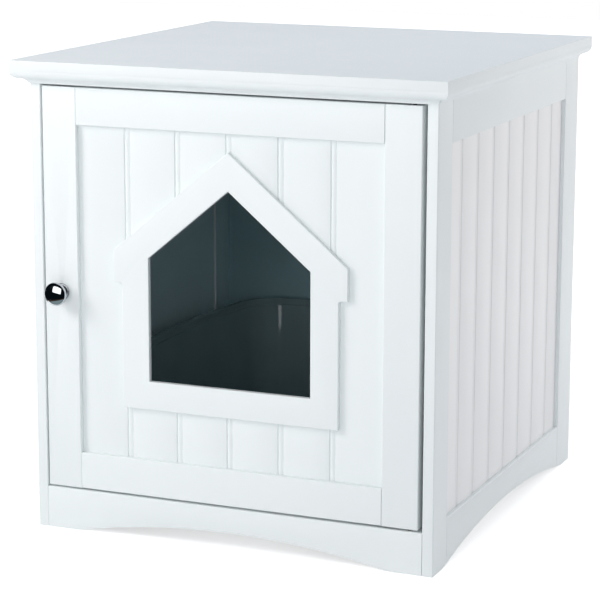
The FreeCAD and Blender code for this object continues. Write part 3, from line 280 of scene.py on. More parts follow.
# %% [markdown]
# ## How a surface becomes a piece
#
# Most pieces here are surfaces that a formula gives: a grid of points over two parameters. Modelling by hand could
# reach the same shapes, but a formula keeps to the imported piece's sizes. One function numbers the quads between
# the points. Another closes the seams, turns the faces outwards, marks the sharp edges for shading, gives the new
# piece the finish and body of the imported node that it stands for, and hides that node.


# %% Grids and pieces
SAME_PLACE = 1e-6


def grid_faces(rows, columns, wrap_rows=False, wrap_columns=False):
    """The corner numbers of a grid's quads. A wrapped direction joins its last line to its first."""
    row = np.arange(rows if wrap_rows else rows - 1)[:, None]
    column = np.arange(columns if wrap_columns else columns - 1)[None, :]
    under, beside = (row + 1) % rows * columns, (column + 1) % columns
    corners = (row * columns + column, row * columns + beside, under + beside, under + column)
    return np.stack(np.broadcast_arrays(*corners), axis=-1).reshape(-1, 4)


def stand_in_for(name, piece, *replaced):
    """Gives a piece its finish and its place among the bodies, and hides the nodes that it stands for."""
    bpy.context.scene.collection.objects.link(piece)
    dress(piece, finish_of[replaced[0]])
    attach(piece, body_of[replaced[0]])
    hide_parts(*replaced)
    print(f"{name}: {len(piece.data.polygons)} faces")
    return piece


def make_piece(name, points, faces, *replaced, sharp_above=32):
    """A closed mesh from points in millimetres. Points that meet are joined, so poles and seams close."""
    mesh = bpy.data.meshes.new(name)
    mesh.from_pydata((np.reshape(points, (-1, 3)) * MM).tolist(), [], [tuple(face) for face in faces])
    shape = bmesh.new()
    shape.from_mesh(mesh)
    bmesh.ops.remove_doubles(shape, verts=shape.verts, dist=SAME_PLACE)
    bmesh.ops.recalc_face_normals(shape, faces=shape.faces)
    shape.to_mesh(mesh)
    shape.free()
    mesh.shade_smooth()
    mesh.set_sharp_from_angle(angle=math.radians(sharp_above))
    return stand_in_for(name, bpy.data.objects.new(name, mesh), *replaced)


def box_mm(node):
    """The node's lowest and highest corner, in millimetres."""
    return [np.array(corner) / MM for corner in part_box(node)]


# %% [markdown]
# ## Boards with softened edges
#
# A cut board's edges are broken with fine paper before lacquer goes on, and the film rounds them a little more.
# Without that, an edge catches no light and the piece looks like a drawing. A shader could fake the rounding,
# but the exported mesh would lose it. So each packed board is copied, its facets are joined into flat faces
# again, and a Bevel modifier rounds its edges.
#
# Where a rail meets a stile, the joint shows as a hairline. The rail's shoulders are drawn back by a fraction of
# a millimetre before the edges are rounded, which leaves that line open.


# %% Softened boards
SOFTENED_ABOVE = math.radians(35)
FLAT_BELOW = math.radians(0.05)


def draw_back(mesh, axis, shoulders, gap_mm):
    """Moves the points on each shoulder plane towards the board's middle, so that an open joint shows there."""
    places = np.empty(3 * len(mesh.vertices))
    mesh.vertices.foreach_get("co", places)
    along = places[axis::3]
    for shoulder in shoulders:
        on_it = np.abs(along - shoulder * MM) < 10 * SAME_PLACE
        along[on_it] += math.copysign(gap_mm * MM, along.mean() - shoulder * MM)
    mesh.vertices.foreach_set("co", places)


def softened(node, radius_mm, steps=3, joints=None):
    """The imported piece, with a rounding of radius_mm on every edge that turns by more than SOFTENED_ABOVE.
    joints holds what draw_back needs: an axis, the shoulders along it and a gap."""
    piece = bpy.data.objects.new(node + "_softened", nodes[node].data.copy())
    if joints:
        draw_back(piece.data, *joints)
    shape = bmesh.new()
    shape.from_mesh(piece.data)
    bmesh.ops.remove_doubles(shape, verts=shape.verts, dist=SAME_PLACE)
    bmesh.ops.dissolve_limit(shape, angle_limit=FLAT_BELOW, verts=shape.verts, edges=shape.edges)
    shape.to_mesh(piece.data)
    shape.free()
    piece.data.shade_smooth()
    rounding = piece.modifiers.new("softened_edges", "BEVEL")
    rounding.width = radius_mm * MM
    rounding.segments = steps
    rounding.limit_method = "ANGLE"
    rounding.angle_limit = SOFTENED_ABOVE
    rounding.use_clamp_overlap = False
    rounding.harden_normals = True
    return stand_in_for(node, piece, node)


print("edges that turn by more than", round(math.degrees(SOFTENED_ABOVE)), "degrees are rounded")

# %% [markdown]
# Lacquer is sprayed on what a buyer sees. The insides of the side frames and of the back keep their primer, which
# is darkened as painted shade for the dim inside, and the front stiles are lacquered all round. A second board could
# be laid on each one's inside, but a second material on the same board, for the faces that look in, adds no
# thickness.


# %% Primed insides
def prime_and_shade_inside(board, outwards, primer=primer_with_painted_shade):
    """Primer, darkened as painted shade, on the faces that look into the cabinet, which are those turned against the
    way outwards.
    """
    board.data.materials.append(primer)
    normals = np.empty(3 * len(board.data.polygons))
    board.data.polygons.foreach_get("normal", normals)
    inside = normals.reshape(-1, 3) @ np.array(outwards) < -0.9
    board.data.polygons.foreach_set("material_index", inside.astype(np.int32))


print("inside:", primer_with_painted_shade.name, "and", back_primer_with_painted_shade.name)

# %% [markdown]
# Now the boards are made. Each packed box gives its shoulders, so the open joints stay where the pieces meet. The
# roundings are those of sanding: the widest on boards, less on the thin trim, and least on small hardware.

# %% All boards and fittings
BOARD_EDGE, TRIM_EDGE, FITTING_EDGE, JOINT_GAP = 0.3, 0.18, 0.12, 0.25
SIDE_BOARDS = [f"{side}_{part}" for side in ("left", "right")
               for part in ("front_stile", "rear_stile", "top_rail", "bottom_rail")]
DOOR_BOARDS = ["door_left_stile", "door_right_stile", "door_top_rail", "door_bottom_rail"]
PLAIN_BOARDS = ["top_board", "header_rail", "back_panel", "floor_board", "front_apron"]
FITTINGS = ["catch_housing", "catch_magnet", "catch_pole_plates", "strike_plate", "floor_cams", "back_cams",
            "apron_cams", "top_cams"]

door_shoulders = [box_mm("door_left_stile")[1][0], box_mm("door_right_stile")[0][0]]
side_shoulders = [box_mm("right_front_stile")[1][1], box_mm("right_rear_stile")[0][1]]
apron_ends = [box_mm("front_apron")[end][0] for end in (0, 1)]
joints_of = {"door_top_rail": (0, door_shoulders, JOINT_GAP), "door_bottom_rail": (0, door_shoulders, JOINT_GAP),
             "front_apron": (0, apron_ends, JOINT_GAP)}
joints_of |= {f"{side}_{rail}_rail": (1, side_shoulders, JOINT_GAP)
              for side in ("left", "right") for rail in ("top", "bottom")}

for board in SIDE_BOARDS + DOOR_BOARDS + PLAIN_BOARDS:
    piece = softened(board, BOARD_EDGE, joints=joints_of.get(board))
    # Rear stiles and rails, and the back, get primer with painted shade on their inside faces.
    if board in SIDE_BOARDS and "front" not in board:
        prime_and_shade_inside(piece, (-1, 0, 0) if "left" in board else (1, 0, 0))
    if board == "back_panel":
        prime_and_shade_inside(piece, (0, 1, 0), back_primer_with_painted_shade)
softened("doorway_trim", TRIM_EDGE)
for fitting in FITTINGS:
    softened(fitting, FITTING_EDGE, steps=2)

# %% [markdown]
# ## Bead board
#
# Bead board is a flat panel with pairs of fine grooves, and a low round bead between each pair. The cutter is
# ground to that section and runs the panel's whole height, so the surface is one section drawn along a straight
# line. Across a bead, the depth below the flat face is an arc. Beside it the groove's outer wall rises in a curve
# that comes out level with the face, as sanded edges do. Cutting each groove out of a board with a Boolean would
# work too, but it leaves long thin faces. A depth that depends on one distance keeps the grid clean.

# %% Bead section
BEAD_HALF, GROOVE, GROOVE_DEPTH, CROWN_DROP = 2.9, 1.0, 1.4, 0.2


def bead_depth(distance):
    """Depth below the face, in mm, at a distance from a bead's middle. On the bead it is
    drop + r - sqrt(r^2 - d^2), with r = (h^2 + c^2) / 2c for a half width h and a crown c. Up the groove's wall
    it is depth * (1 - sin(90 degrees * t)), with t from 0 at the bottom to 1 at the face."""
    crown = GROOVE_DEPTH - CROWN_DROP
    radius = (BEAD_HALF**2 + crown**2) / (2 * crown)
    rib = CROWN_DROP + radius - np.sqrt(radius**2 - np.minimum(distance, BEAD_HALF) ** 2)
    wall = GROOVE_DEPTH * (1 - np.sin(np.pi / 2 * np.clip((distance - BEAD_HALF) / GROOVE, 0, 1)))
    return np.where(distance <= BEAD_HALF, rib, wall)


def bead_row(low, high, pitch, count):
    """Places across a panel that follow its beads closely, and the surface's depth at each one."""
    middles = (low + high) / 2 + pitch * (np.arange(count) - (count - 1) / 2)
    half = np.concatenate([np.linspace(0, BEAD_HALF, 9), BEAD_HALF + np.linspace(0, GROOVE, 6)[1:]])
    places = np.concatenate([np.add.outer(middles, np.concatenate([-half, half])).ravel(), [low, high]])
    places = np.unique(places.round(4))
    distance = np.abs(places[:, None] - middles[None, :]).min(axis=1)
    return places, bead_depth(distance)


print("depth at the crown, the groove and the face:", bead_depth(np.array([0, BEAD_HALF, BEAD_HALF + GROOVE])))

# %% [markdown]
# The side panels stand in the side frames, seven beads on each. A panel has a front with beads and a flat back,
# over the same grid. Wherever an edge of the front belongs to one quad only, a wall joins it to the back. That
# closes the outside and, on the door, the cut-out too. A Solidify modifier would copy the beads to the back,
# where the real board is flat.


# %% Side panels
def two_faced(front, back, faces):
    """Closes a front grid and its back grid with walls along every free edge."""
    edges = np.stack([faces, np.roll(faces, -1, axis=1)], axis=-1).reshape(-1, 2)
    size = len(front)
    free = ~np.isin(edges @ (size, 1), edges[:, ::-1] @ (size, 1))
    walls = np.hstack([edges[free][:, ::-1], edges[free] + size])
    return np.vstack([front, back]), np.vstack([faces, faces[:, ::-1] + size, walls])


SIDE_PITCH, SIDE_BEADS = 52.0, 7

for side, sign in (("left", -1), ("right", 1)):
    low, high = box_mm(f"{side}_bead_panel")
    face, back = (high[0], low[0]) if sign > 0 else (low[0], high[0])
    along, depth = bead_row(low[1], high[1], SIDE_PITCH, SIDE_BEADS)
    y, z = np.meshgrid(along, np.linspace(low[2], high[2], 5))
    front = np.stack([np.broadcast_to(face - sign * depth, y.shape), y, z], axis=-1).reshape(-1, 3)
    rear = np.stack([np.full(y.shape, back), y, z], axis=-1).reshape(-1, 3)
    board = make_piece(f"{side}_bead_board", *two_faced(front, rear, grid_faces(*y.shape)), f"{side}_bead_panel")
    # The panel's inside face gets primer with painted shade.
    prime_and_shade_inside(board, (sign, 0, 0))

# %% [markdown]
# The door's panel has the same beads, and the cut-out for the doorway. The cut could be a Boolean with a house
# for a knife, but leaving out quads gives a straight, closed edge. Each column of the grid has four points: the
# panel's foot, the sill, the gable line above it, and the panel's head. Between the sill and the gable line, the
# quads inside the doorway are left out. The cut runs 3.5 mm outside the trim's opening, in its shadow.

# %% Door panel
DOOR_PITCH, DOOR_BEADS = 58.5, 5
DOORWAY_HALF, SILL, GABLE_RISE, TRIM_BAND, CUT_SETBACK = 92.5, 175.5, 77.0, 31.0, 3.5

slope = GABLE_RISE / DOORWAY_HALF
trim_peak = box_mm("doorway_trim")[1][2]
doorway_peak = trim_peak - TRIM_BAND * math.hypot(1, slope)
cut_half = DOORWAY_HALF + CUT_SETBACK
cut_peak = doorway_peak + CUT_SETBACK * math.hypot(1, slope)

low, high = box_mm("door_bead_panel")
across, _ = bead_row(low[0], high[0], DOOR_PITCH, DOOR_BEADS)
across = np.unique(np.concatenate([across, [-cut_half, 0.0, cut_half]]))
middles = (low[0] + high[0]) / 2 + DOOR_PITCH * (np.arange(DOOR_BEADS) - (DOOR_BEADS - 1) / 2)
depth = bead_depth(np.abs(across[:, None] - middles).min(axis=1))
gable_line = cut_peak - slope * np.minimum(np.abs(across), cut_half)
z = np.stack([np.full(across.shape, low[2]), np.full(across.shape, SILL - CUT_SETBACK), gable_line,
              np.full(across.shape, high[2])])
x = np.broadcast_to(across, z.shape)
front = np.stack([x, np.broadcast_to(low[1] + depth, z.shape), z], axis=-1).reshape(-1, 3)
rear = np.stack([x, np.full(z.shape, high[1]), z], axis=-1).reshape(-1, 3)
quads = grid_faces(*z.shape)
centre_of_quad = front[quads].mean(axis=1)
between_rows = quads[:, 0] // len(across) == 1
quads = quads[~(between_rows & (np.abs(centre_of_quad[:, 0]) < cut_half))]
make_piece("door_bead_board", *two_faced(front, rear, quads), "door_bead_panel")
print("doorway peak at", round(doorway_peak, 1), "mm")

# %% [markdown]
# ## Rounded profiles
#
# Turned and moulded things are drawn as a section first. A spline could draw it, but its handles say nothing about
# sizes. A section here is a few corners, each with the radius that rounds it, so a mould maker's drawing can be
# read straight from the numbers.


# %% Sections with rounded corners
def rounded(*corners, steps=8):
    """A line through corners (across, up, radius). Each corner becomes an arc that touches both its sides:
    with half angle a, the arc starts r / tan(a) from the corner, and its centre is r / sin(a) away."""
    line = [np.array(corners[0][:2], float)[None]]
    for before, here, after in zip(corners, corners[1:], corners[2:]):
        corner, radius = np.array(here[:2], float), here[2] if len(here) > 2 else 0
        if not radius:
            line.append(corner[None])
            continue
        back, on = (np.array(point[:2], float) - corner for point in (before, after))
        back, on = back / np.linalg.norm(back), on / np.linalg.norm(on)
        half = math.acos(np.clip(back @ on, -1, 1)) / 2
        bisector = (back + on) / np.linalg.norm(back + on)
        centre = corner + bisector * radius / math.sin(half)
        first, last = corner + back * radius / math.tan(half) - centre, corner + on * radius / math.tan(half) - centre
        sweep, t = math.pi - 2 * half, np.linspace(0, 1, steps + 1)[:, None]
        line.append(centre + (np.sin((1 - t) * sweep) * first + np.sin(t * sweep) * last) / math.sin(sweep))
    return np.vstack(line + [np.array(corners[-1][:2], float)[None]])


print("a rounded right angle has", len(rounded((0, 0), (1, 0, 0.5), (1, 1))), "points")

# %% [markdown]
# Knob, flange, pins and bushes are round, and a lathe makes such things from their section. Blender's Screw
# modifier or Spin could turn it here. A formula does the same in one step and leaves a closed grid.


# %% Turned pieces
TURNED_SHARP_ABOVE = 40


def turned(name, section, centre, axis, *replaced, steps=96, loop=False):
    """A turned piece: point (r, h) of the section goes round the axis to (r cos a, r sin a, h)."""
    angle = np.linspace(0, 2 * np.pi, steps, endpoint=False)
    r, h = section[:, :1], section[:, 1:]
    ring = [r * np.cos(angle), r * np.sin(angle), np.broadcast_to(h, (len(section), steps))]
    order = {"y": (0, 2, 1), "z": (0, 1, 2)}[axis]
    points = np.stack([ring[place] for place in order], axis=-1) + centre
    faces = grid_faces(len(section), steps, wrap_rows=loop, wrap_columns=True)
    return make_piece(name, points, faces, *replaced, sharp_above=TURNED_SHARP_ABOVE)


print("a turned edge is sharp above", TURNED_SHARP_ABOVE, "degrees")


# %% [markdown]
# ## The moulding under the top
#
# Below its lip the moulding swells back in an ovolo, steps in over a narrow quirk, and falls away in a shallow
# cove. It is one section, run along the front and both sides and mitred at the front corners. A curve with this
# section as its profile would swell at the corners, so each length is drawn between its own two cuts, and every
# point of a mitre moves along by as much as it lies inwards. The section is given from the outer face inwards
# and from the top down.

# %% Moulding
LIP, OVOLO, QUIRK, COVE_REACH, COVE_DROP, COVE_RADIUS = 0.4, 8.8, 0.8, 5.4, 4.8, 8.0


def moulding_section(width, height):
    """(inwards, down) from lip to back. Both curves are arcs about a centre, so a point is centre + r (cos, sin)."""
    turn = np.linspace(0, np.pi / 2, 17)
    ovolo = np.stack([OVOLO * (1 - np.cos(turn)), LIP + OVOLO * np.sin(turn)], axis=1)
    start = np.array([OVOLO + QUIRK, LIP + OVOLO])
    end = start + (COVE_REACH, COVE_DROP)
    chord = end - start
    reach = np.linalg.norm(chord)
    bulge = math.sqrt(COVE_RADIUS**2 - reach**2 / 4) / reach
    centre = (start + end) / 2 + bulge * np.array([-chord[1], chord[0]])
    angles = np.arctan2(*(np.stack([start, end]) - centre).T[::-1])
    sweep = np.linspace(*angles, 13)
    cove = centre + COVE_RADIUS * np.stack([np.cos(sweep), np.sin(sweep)], axis=1)
    ends = [(end[0], height), (width, height), (width, 0.0), (0.15, 0.0), (0.0, 0.15)]
    return np.vstack([ovolo, cove, ends])


front_low, front_high = box_mm("front_cornice")
side_low, side_high = box_mm("right_cornice")
height = front_high[2] - front_low[2]
side_width, front_width = side_high[0] - side_low[0], front_high[1] - front_low[1]


def moulding(name, section, ends, place, replaced):
    """The section drawn between its two ends. place() turns (inwards, down, along) into a point."""
    rows = np.stack([place(section[:, 0], section[:, 1], end) for end in ends], axis=1)
    count = len(section)
    caps = [tuple(range(0, 2 * count, 2)), tuple(range(1, 2 * count, 2))]
    make_piece(name, rows, [*grid_faces(count, 2, wrap_rows=True), *caps], replaced, sharp_above=25)


section = moulding_section(front_width, height)
mitre = np.minimum(section[:, 0], side_width)
moulding("front_moulding", section, (front_low[0] + mitre, front_high[0] - mitre),
         lambda inwards, down, along: np.stack([along, front_low[1] + inwards, front_high[2] - down], axis=-1),
         "front_cornice")
section = moulding_section(side_width, height)
for side, sign in (("left", -1), ("right", 1)):
    moulding(f"{side}_moulding", section, (side_low[1] + section[:, 0], np.full(len(section), side_high[1])),
             lambda inwards, down, along: np.stack([sign * (side_high[0] - inwards), along, side_high[2] - down],
                                                   axis=-1),
             f"{side}_cornice")

# %% [markdown]
# ## The knob
#
# The knob is turned: a domed face, a crisp rim, a back that rounds in to a straight neck, and a small flange
# that spreads the load on the lacquer. A ball could stand for the dome, but a mirror shows its exact curve: on
# this one the window's image is small and its edges are nearly straight, and half an ellipse gives that. The
# rim's own radius is half a millimetre. It is the thin bright line on the knob's right, where it mirrors the
# white lacquer and the room beside it.

# %% Knob and flange
low, high = box_mm("knob")
knob_centre = np.array([(low[0] + high[0]) / 2, 0, (low[2] + high[2]) / 2])
KNOB_RADIUS, KNOB_RIM, NECK_TOP, NECK_RADIUS, RIM_ROUND = 12.9, 14.4, 8.0, 4.5, 0.5
door_face = box_mm("door_left_stile")[0][1]
projection = door_face - low[1]


def dome(steps=28, wrap=math.radians(78)):
    """Half an ellipse from the pole to near the rim: r = radius sin a, h = rim + (tip - rim) cos a."""
    a = np.linspace(0, wrap, steps)
    return np.stack([KNOB_RADIUS * np.sin(a), KNOB_RIM + (projection - KNOB_RIM) * np.cos(a)], axis=1)


FLANGE_RADIUS, FLANGE_THICKNESS, BORE_RADIUS = 9.4, 2.4, 2.0
back = rounded(dome()[-1], (KNOB_RADIUS, KNOB_RIM - 0.3, RIM_ROUND),
               (KNOB_RADIUS - 2.0, KNOB_RIM - 2.6, 3.0), (NECK_RADIUS + 1.2, NECK_TOP + 0.8, 2.5),
               (NECK_RADIUS, NECK_TOP - 2.0, 2.0), (NECK_RADIUS, FLANGE_THICKNESS), (BORE_RADIUS, FLANGE_THICKNESS),
               (BORE_RADIUS, NECK_TOP + 1.5), (0, NECK_TOP + 1.5))
section = np.vstack([dome(), back[1:]])
turned("cabinet_knob", section * (1, -1), knob_centre + (0, door_face, 0), "y", "knob")

section = rounded((BORE_RADIUS + 0.1, 0), (FLANGE_RADIUS, 0, 0.2), (FLANGE_RADIUS, FLANGE_THICKNESS, 1.3),
                  (NECK_RADIUS + 0.8, FLANGE_THICKNESS), (BORE_RADIUS + 0.1, FLANGE_THICKNESS))
turned("knob_flange", section * (1, -1), knob_centre + (0, door_face, 0), "y", "knob_rosette", loop=True)

# %% [markdown]
# ## Pivot pins and bushes
#
# Two steel pins carry the door. Each one turns in a nylon bush that is flush with its board. The lower pin shows
# as a bright speck in the gap under the door, and the upper one is painted dark, as painted shade for the shaded gap
# above the door. The imported pieces could stay as they are, but facets show on such small round metal, so they are
# turned again with a little rounding at each end.


# %% Pins and bushes
def plain_pin(node, upwards):
    """A pin whose flat foot is in the door. Its free end, up or down, is rounded by half a millimetre."""
    low, high = box_mm(node)
    middle, radius, length = (low + high) / 2, (high[0] - low[0]) / 2, high[2] - low[2]
    section = rounded((0, 0), (radius, 0, 0.15), (radius, length, 0.5), (0, length))
    foot = low[2] if upwards else high[2]
    turned(node.replace("pivot_pin", "steel_pin"), section * (1, 1 if upwards else -1), (*middle[:2], foot), "z",
           node, steps=48)
    return radius


pin_radius = plain_pin("upper_pivot_pin", True)
plain_pin("lower_pivot_pin", False)

BUSH_DEPTH, BUSH_PLAY = 8.0, {"lower": 0.0, "upper": 0.5}
for end, sign in (("lower", -1), ("upper", 1)):
    low, high = box_mm(f"{end}_pivot_bush")
    middle, outer, tall = (low + high) / 2, (high[0] - low[0]) / 2, high[2] - low[2]
    bore, deep = pin_radius + 0.05, BUSH_DEPTH + BUSH_PLAY[end]
    section = rounded((0, deep), (bore, deep, 0.1), (bore, 0, 0.2), (outer, 0, 0.2), (outer, tall, 0.3), (0, tall))
    mouth = high[2] if sign < 0 else low[2]
    turned(f"{end}_nylon_bush", section * (1, sign), (*middle[:2], mouth), "z", f"{end}_pivot_bush", steps=64)

# %% [markdown]
# ## The litter tray
#
# The tray is moulded in one piece. Seen from above, its outline is eight arcs that touch: long bowed sides and
# ends, and a round corner between each two. Growing the outline moves all eight arcs outwards about their own
# centres. So each height of the tray is the same outline with another growth, and the whole tray is one section
# of (growth, height) carried round it. A box with rounded corners could be scaled for each height instead, but
# then its wall would be thicker at the ends than at the sides.

# %% The tray's outline
SIDE_BOW, END_BOW, CORNER = 1150.0, 900.0, 55.0

low, high = box_mm("litter_tray")
tray_middle = (low + high) / 2
half_width, half_length, tray_height = (high - low) / (2, 2, 1)


def tray_arcs(steps=22):
    """Centres and radii of the eight arcs, and the directions that they sweep. A corner's centre lies
    bow - corner from the side's centre and from the end's centre, so it is where those two circles cross."""
    side = np.array([half_width - SIDE_BOW, 0.0])
    end = np.array([0.0, half_length - END_BOW])
    reach, gap = SIDE_BOW - CORNER, end - side
    span = np.linalg.norm(gap)
    along = (reach**2 - (END_BOW - CORNER) ** 2 + span**2) / (2 * span)
    unit = gap / span
    corner = side + unit * along + np.array([-unit[1], unit[0]]) * math.sqrt(reach**2 - along**2)
    side_turn = math.atan2(*(corner - side)[::-1])
    end_turn = math.atan2(*(corner - end)[::-1])
    pi = math.pi
    arcs = [(side, SIDE_BOW, -side_turn, side_turn), (corner, CORNER, side_turn, end_turn),
            (end, END_BOW, end_turn, pi - end_turn), (corner * (-1, 1), CORNER, pi - end_turn, pi - side_turn),
            (-side, SIDE_BOW, pi - side_turn, pi + side_turn), (-corner, CORNER, pi + side_turn, pi + end_turn),
            (-end, END_BOW, pi + end_turn, 2 * pi - end_turn),
            (corner * (1, -1), CORNER, 2 * pi - end_turn, 2 * pi - side_turn)]
    sweep = [np.linspace(start, stop, steps, endpoint=False) for _, _, start, stop in arcs]
    centres = np.repeat([centre for centre, *_ in arcs], steps, axis=0)
    radii = np.repeat([radius for _, radius, *_ in arcs], steps)
    return centres, radii, np.concatenate(sweep)


centres, radii, direction = tray_arcs()
normal = np.stack([np.cos(direction), np.sin(direction)], axis=1)
print("points round the tray:", len(direction))

# %% [markdown]
# The section goes once round the tray's wall: foot, tapered outer wall, turned-down rim, the small step inside
# it, and the inner wall down to the floor. At the front the rim dips by a centimetre, so the cat steps in low,
# and no rim shows over the doorway's sill. The rim could be cut away there, but the dip keeps it whole: every
# height is lowered by a share that fades out smoothly to both sides and towards the tray's middle.

# %% Litter tray
TRAY_WALL, TRAY_TAPER, FOOT_ROUND = 2.4, 12.0, 9.0
RIM_WIDTH, RIM_SKIRT, STEP_HEIGHT, STEP_WIDTH, RIM_ROUND_OVER = 9.0, 2.0, 7.5, 2.0, 1.0
ENTRY_DIP, ENTRY_HALF, ENTRY_FADE, ENTRY_LENGTH = 10.0, 112.0, 55.0, 70.0


def smooth_step(t):
    """3 t^2 - 2 t^3 between 0 and 1, and flat outside."""
    t = np.clip(t, 0, 1)
    return t * t * (3 - 2 * t)


inner_top = -RIM_WIDTH - STEP_WIDTH
inner_foot = inner_top - TRAY_TAPER
ledge = tray_height - STEP_HEIGHT
under_rim = ledge - TRAY_WALL
floor_edge = inner_foot - 2 * FOOT_ROUND
section = rounded(
    (floor_edge, 0), (inner_foot + TRAY_WALL, 0, FOOT_ROUND), (inner_top + TRAY_WALL, under_rim, 0.6),
    (TRAY_WALL - RIM_WIDTH, under_rim, 0.6), (TRAY_WALL - RIM_WIDTH, tray_height - TRAY_WALL, 0.6),
    (-RIM_SKIRT, tray_height - TRAY_WALL, 0.6), (-RIM_SKIRT, under_rim, 0.4), (0, under_rim, 0.4),
    (0, tray_height, RIM_ROUND_OVER + 0.6), (-RIM_WIDTH, tray_height, RIM_ROUND_OVER), (-RIM_WIDTH, ledge, 0.9),
    (inner_top, ledge, 0.9), (inner_foot, TRAY_WALL, FOOT_ROUND - TRAY_WALL), (floor_edge, TRAY_WALL), steps=7)
rings = centres + (radii + section[:, :1])[..., None] * normal
middle_line = np.zeros((1, len(direction), 2))
rings = np.concatenate([middle_line, rings, middle_line])
heights = np.concatenate([[0], section[:, 1], [TRAY_WALL]])
forward = smooth_step((-rings[..., 1] - half_length + ENTRY_LENGTH) / ENTRY_LENGTH)
between = smooth_step((ENTRY_HALF + ENTRY_FADE - np.abs(rings[..., 0])) / ENTRY_FADE)
heights = heights[:, None] * (1 - ENTRY_DIP / tray_height * forward * between)
points = np.dstack([rings, heights]) + (*tray_middle[:2], low[2])
make_piece("moulded_tray", points, grid_faces(len(heights), len(direction), wrap_columns=True), "litter_tray")

# %% [markdown]
# ## The studio
#
# The photograph's camera stood about 2.6 m from the cabinet's middle, to its right and above it, with a long lens.
# It could be aimed by eye, but then no edge would quite match. So its place and turn were worked out from the
# cabinet's straight edges. A square picture and a 36 mm sensor turn its focal length of 2326 pixels into
# millimetres.

# %% Camera
FOCAL_PIXELS, PICTURE_PIXELS, SENSOR_MM = 2326.35, 600, 36.0
YAW, PITCH, ROLL = 0.3995, 0.2086, 0.0021
CAMERA_PLACE = Vector((0.9893, -2.38365, 0.7732))

ahead = Vector((-math.sin(YAW) * math.cos(PITCH), math.cos(YAW) * math.cos(PITCH), -math.sin(PITCH)))
level_right = Vector((math.cos(YAW), math.sin(YAW), 0.0))
level_up = level_right.cross(ahead)
right = level_right * math.cos(ROLL) + level_up * math.sin(ROLL)
up = level_up * math.cos(ROLL) - level_right * math.sin(ROLL)

lens = bpy.data.cameras.new("camera")
lens.lens = FOCAL_PIXELS / PICTURE_PIXELS * SENSOR_MM
lens.sensor_width = SENSOR_MM
camera = bpy.data.objects.new("camera", lens)
bpy.context.scene.collection.objects.link(camera)
camera.matrix_world = Matrix.Translation(CAMERA_PLACE) @ Matrix((right, up, -ahead)).transposed().to_4x4()
bpy.context.scene.camera = camera
print("lens of", round(lens.lens, 1), "mm")

# %% [markdown]
# A plain pale floor carries the cabinet. More lamps could make it white, but they would wash the cabinet out. So
# it glows a little, to the camera, to mirrors and through glass alone, and light from it on the boards stays
# ordinary bounced light. Near the cabinet it glows least, which keeps the soft shadow there, and it rises to
# white farther off.


# %% Floor
NEAR, FAR = (0.45, 0.55), (1.1, 1.0)


def rays_that_see(tree):
    """1 for rays from the camera, from mirrors and through glass, and 0 for the light on the boards."""
    ray = add(tree, "LightPath").outputs
    seen = add(tree, "Math", {0: ray["Is Camera Ray"], 1: ray["Is Glossy Ray"]}, operation="MAXIMUM").outputs[0]
    return add(tree, "Math", {0: seen, 1: ray["Is Transmission Ray"]}, operation="MAXIMUM").outputs[0]


def backdrop(name):
    """White paper that also glows. NEAR and FAR each hold a distance from the cabinet's middle, in metres, and
    the glow there. Between them the glow rises smoothly."""
    material, tree, where = new_material(name)
    color = ramp(tree, noise(tree, where, 400), linear("#F4F5F6"), linear("#F8F9FA"), color=True)
    paper = add(tree, "BsdfPrincipled", {"Base Color": color, "Roughness": 0.9})
    distance = add(tree, "VectorMath", {0: where}, operation="LENGTH").outputs["Value"]
    rise = add(tree, "MapRange", {"Value": distance, "From Min": NEAR[0], "From Max": FAR[0], "To Min": NEAR[1],
                                  "To Max": FAR[1]}, interpolation_type="SMOOTHSTEP").outputs["Result"]
    strength = add(tree, "Math", {0: rays_that_see(tree), 1: rise}, operation="MULTIPLY").outputs[0]
    glow = add(tree, "Emission", {"Color": (1, 1, 1, 1), "Strength": strength})
    finish_material(tree, add(tree, "AddShader", {0: paper.outputs[0], 1: glow.outputs[0]}))
    return material


FLOOR_HALF = 6.0
corners = np.array([(-1, -1, 0), (1, -1, 0), (1, 1, 0), (-1, 1, 0)]) * FLOOR_HALF
sheet = bpy.data.meshes.new("floor")
sheet.from_pydata(corners.tolist(), [], [(0, 1, 2, 3)])
floor = bpy.data.objects.new("floor", sheet)
bpy.context.scene.collection.objects.link(floor)
dress(floor, backdrop("white_studio_floor"))
print("floor", 2 * FLOOR_HALF, "m wide")

# %% [markdown]
# The light is plain and soft: five soft boxes, each wide enough to blur its own shadow. The strongest stands close
# at the front left, so the front is the brightest side and falls off to the lower right, as in the photograph.
# One behind on the right lifts the far end of the right side. A low one and one beside the camera reach the
# apron, the doorway and the gap at the hinges, and a bluish one above cools the top. A picture of a studio as
# the world could light it too, but lamps are set one by one: each was rendered alone, and their powers were then
# weighed against the photograph's tones.


# %% Light
def soft_box(name, place, target, size, power, color):
    """A square lamp at a place, turned to its target, with its size in metres and its power in watts."""
    lamp = bpy.data.lights.new(name, "AREA")
    lamp.size = size
    lamp.energy = power
    lamp.color = linear(color)[:3]
    holder = bpy.data.objects.new(name, lamp)
    bpy.context.scene.collection.objects.link(holder)
    holder.location = place
    holder.rotation_euler = (Vector(target) - Vector(place)).to_track_quat("-Z", "Y").to_euler()


soft_box("left_front_light", (-1.1, -1.1, 1.0), (-0.05, -0.2, 0.3), 0.7, 11.0, "#FFFDFB")
soft_box("low_front_light", (0.05, -2.4, 0.6), (-0.05, -0.2, 0.3), 0.7, 6.2, "#FFFFFF")
soft_box("camera_side_light", (0.9, -2.4, 0.85), (0.1, -0.2, 0.3), 0.9, 4.4, "#FFFFFF")
soft_box("right_rear_light", (1.3, 1.4, 0.75), (0.2, 0.1, 0.3), 0.8, 7.9, "#FFFBF7")
soft_box("top_light", (0.2, 0.3, 2.0), (0.0, 0.0, 0.5), 1.2, 6.0, "#D8E8FF")

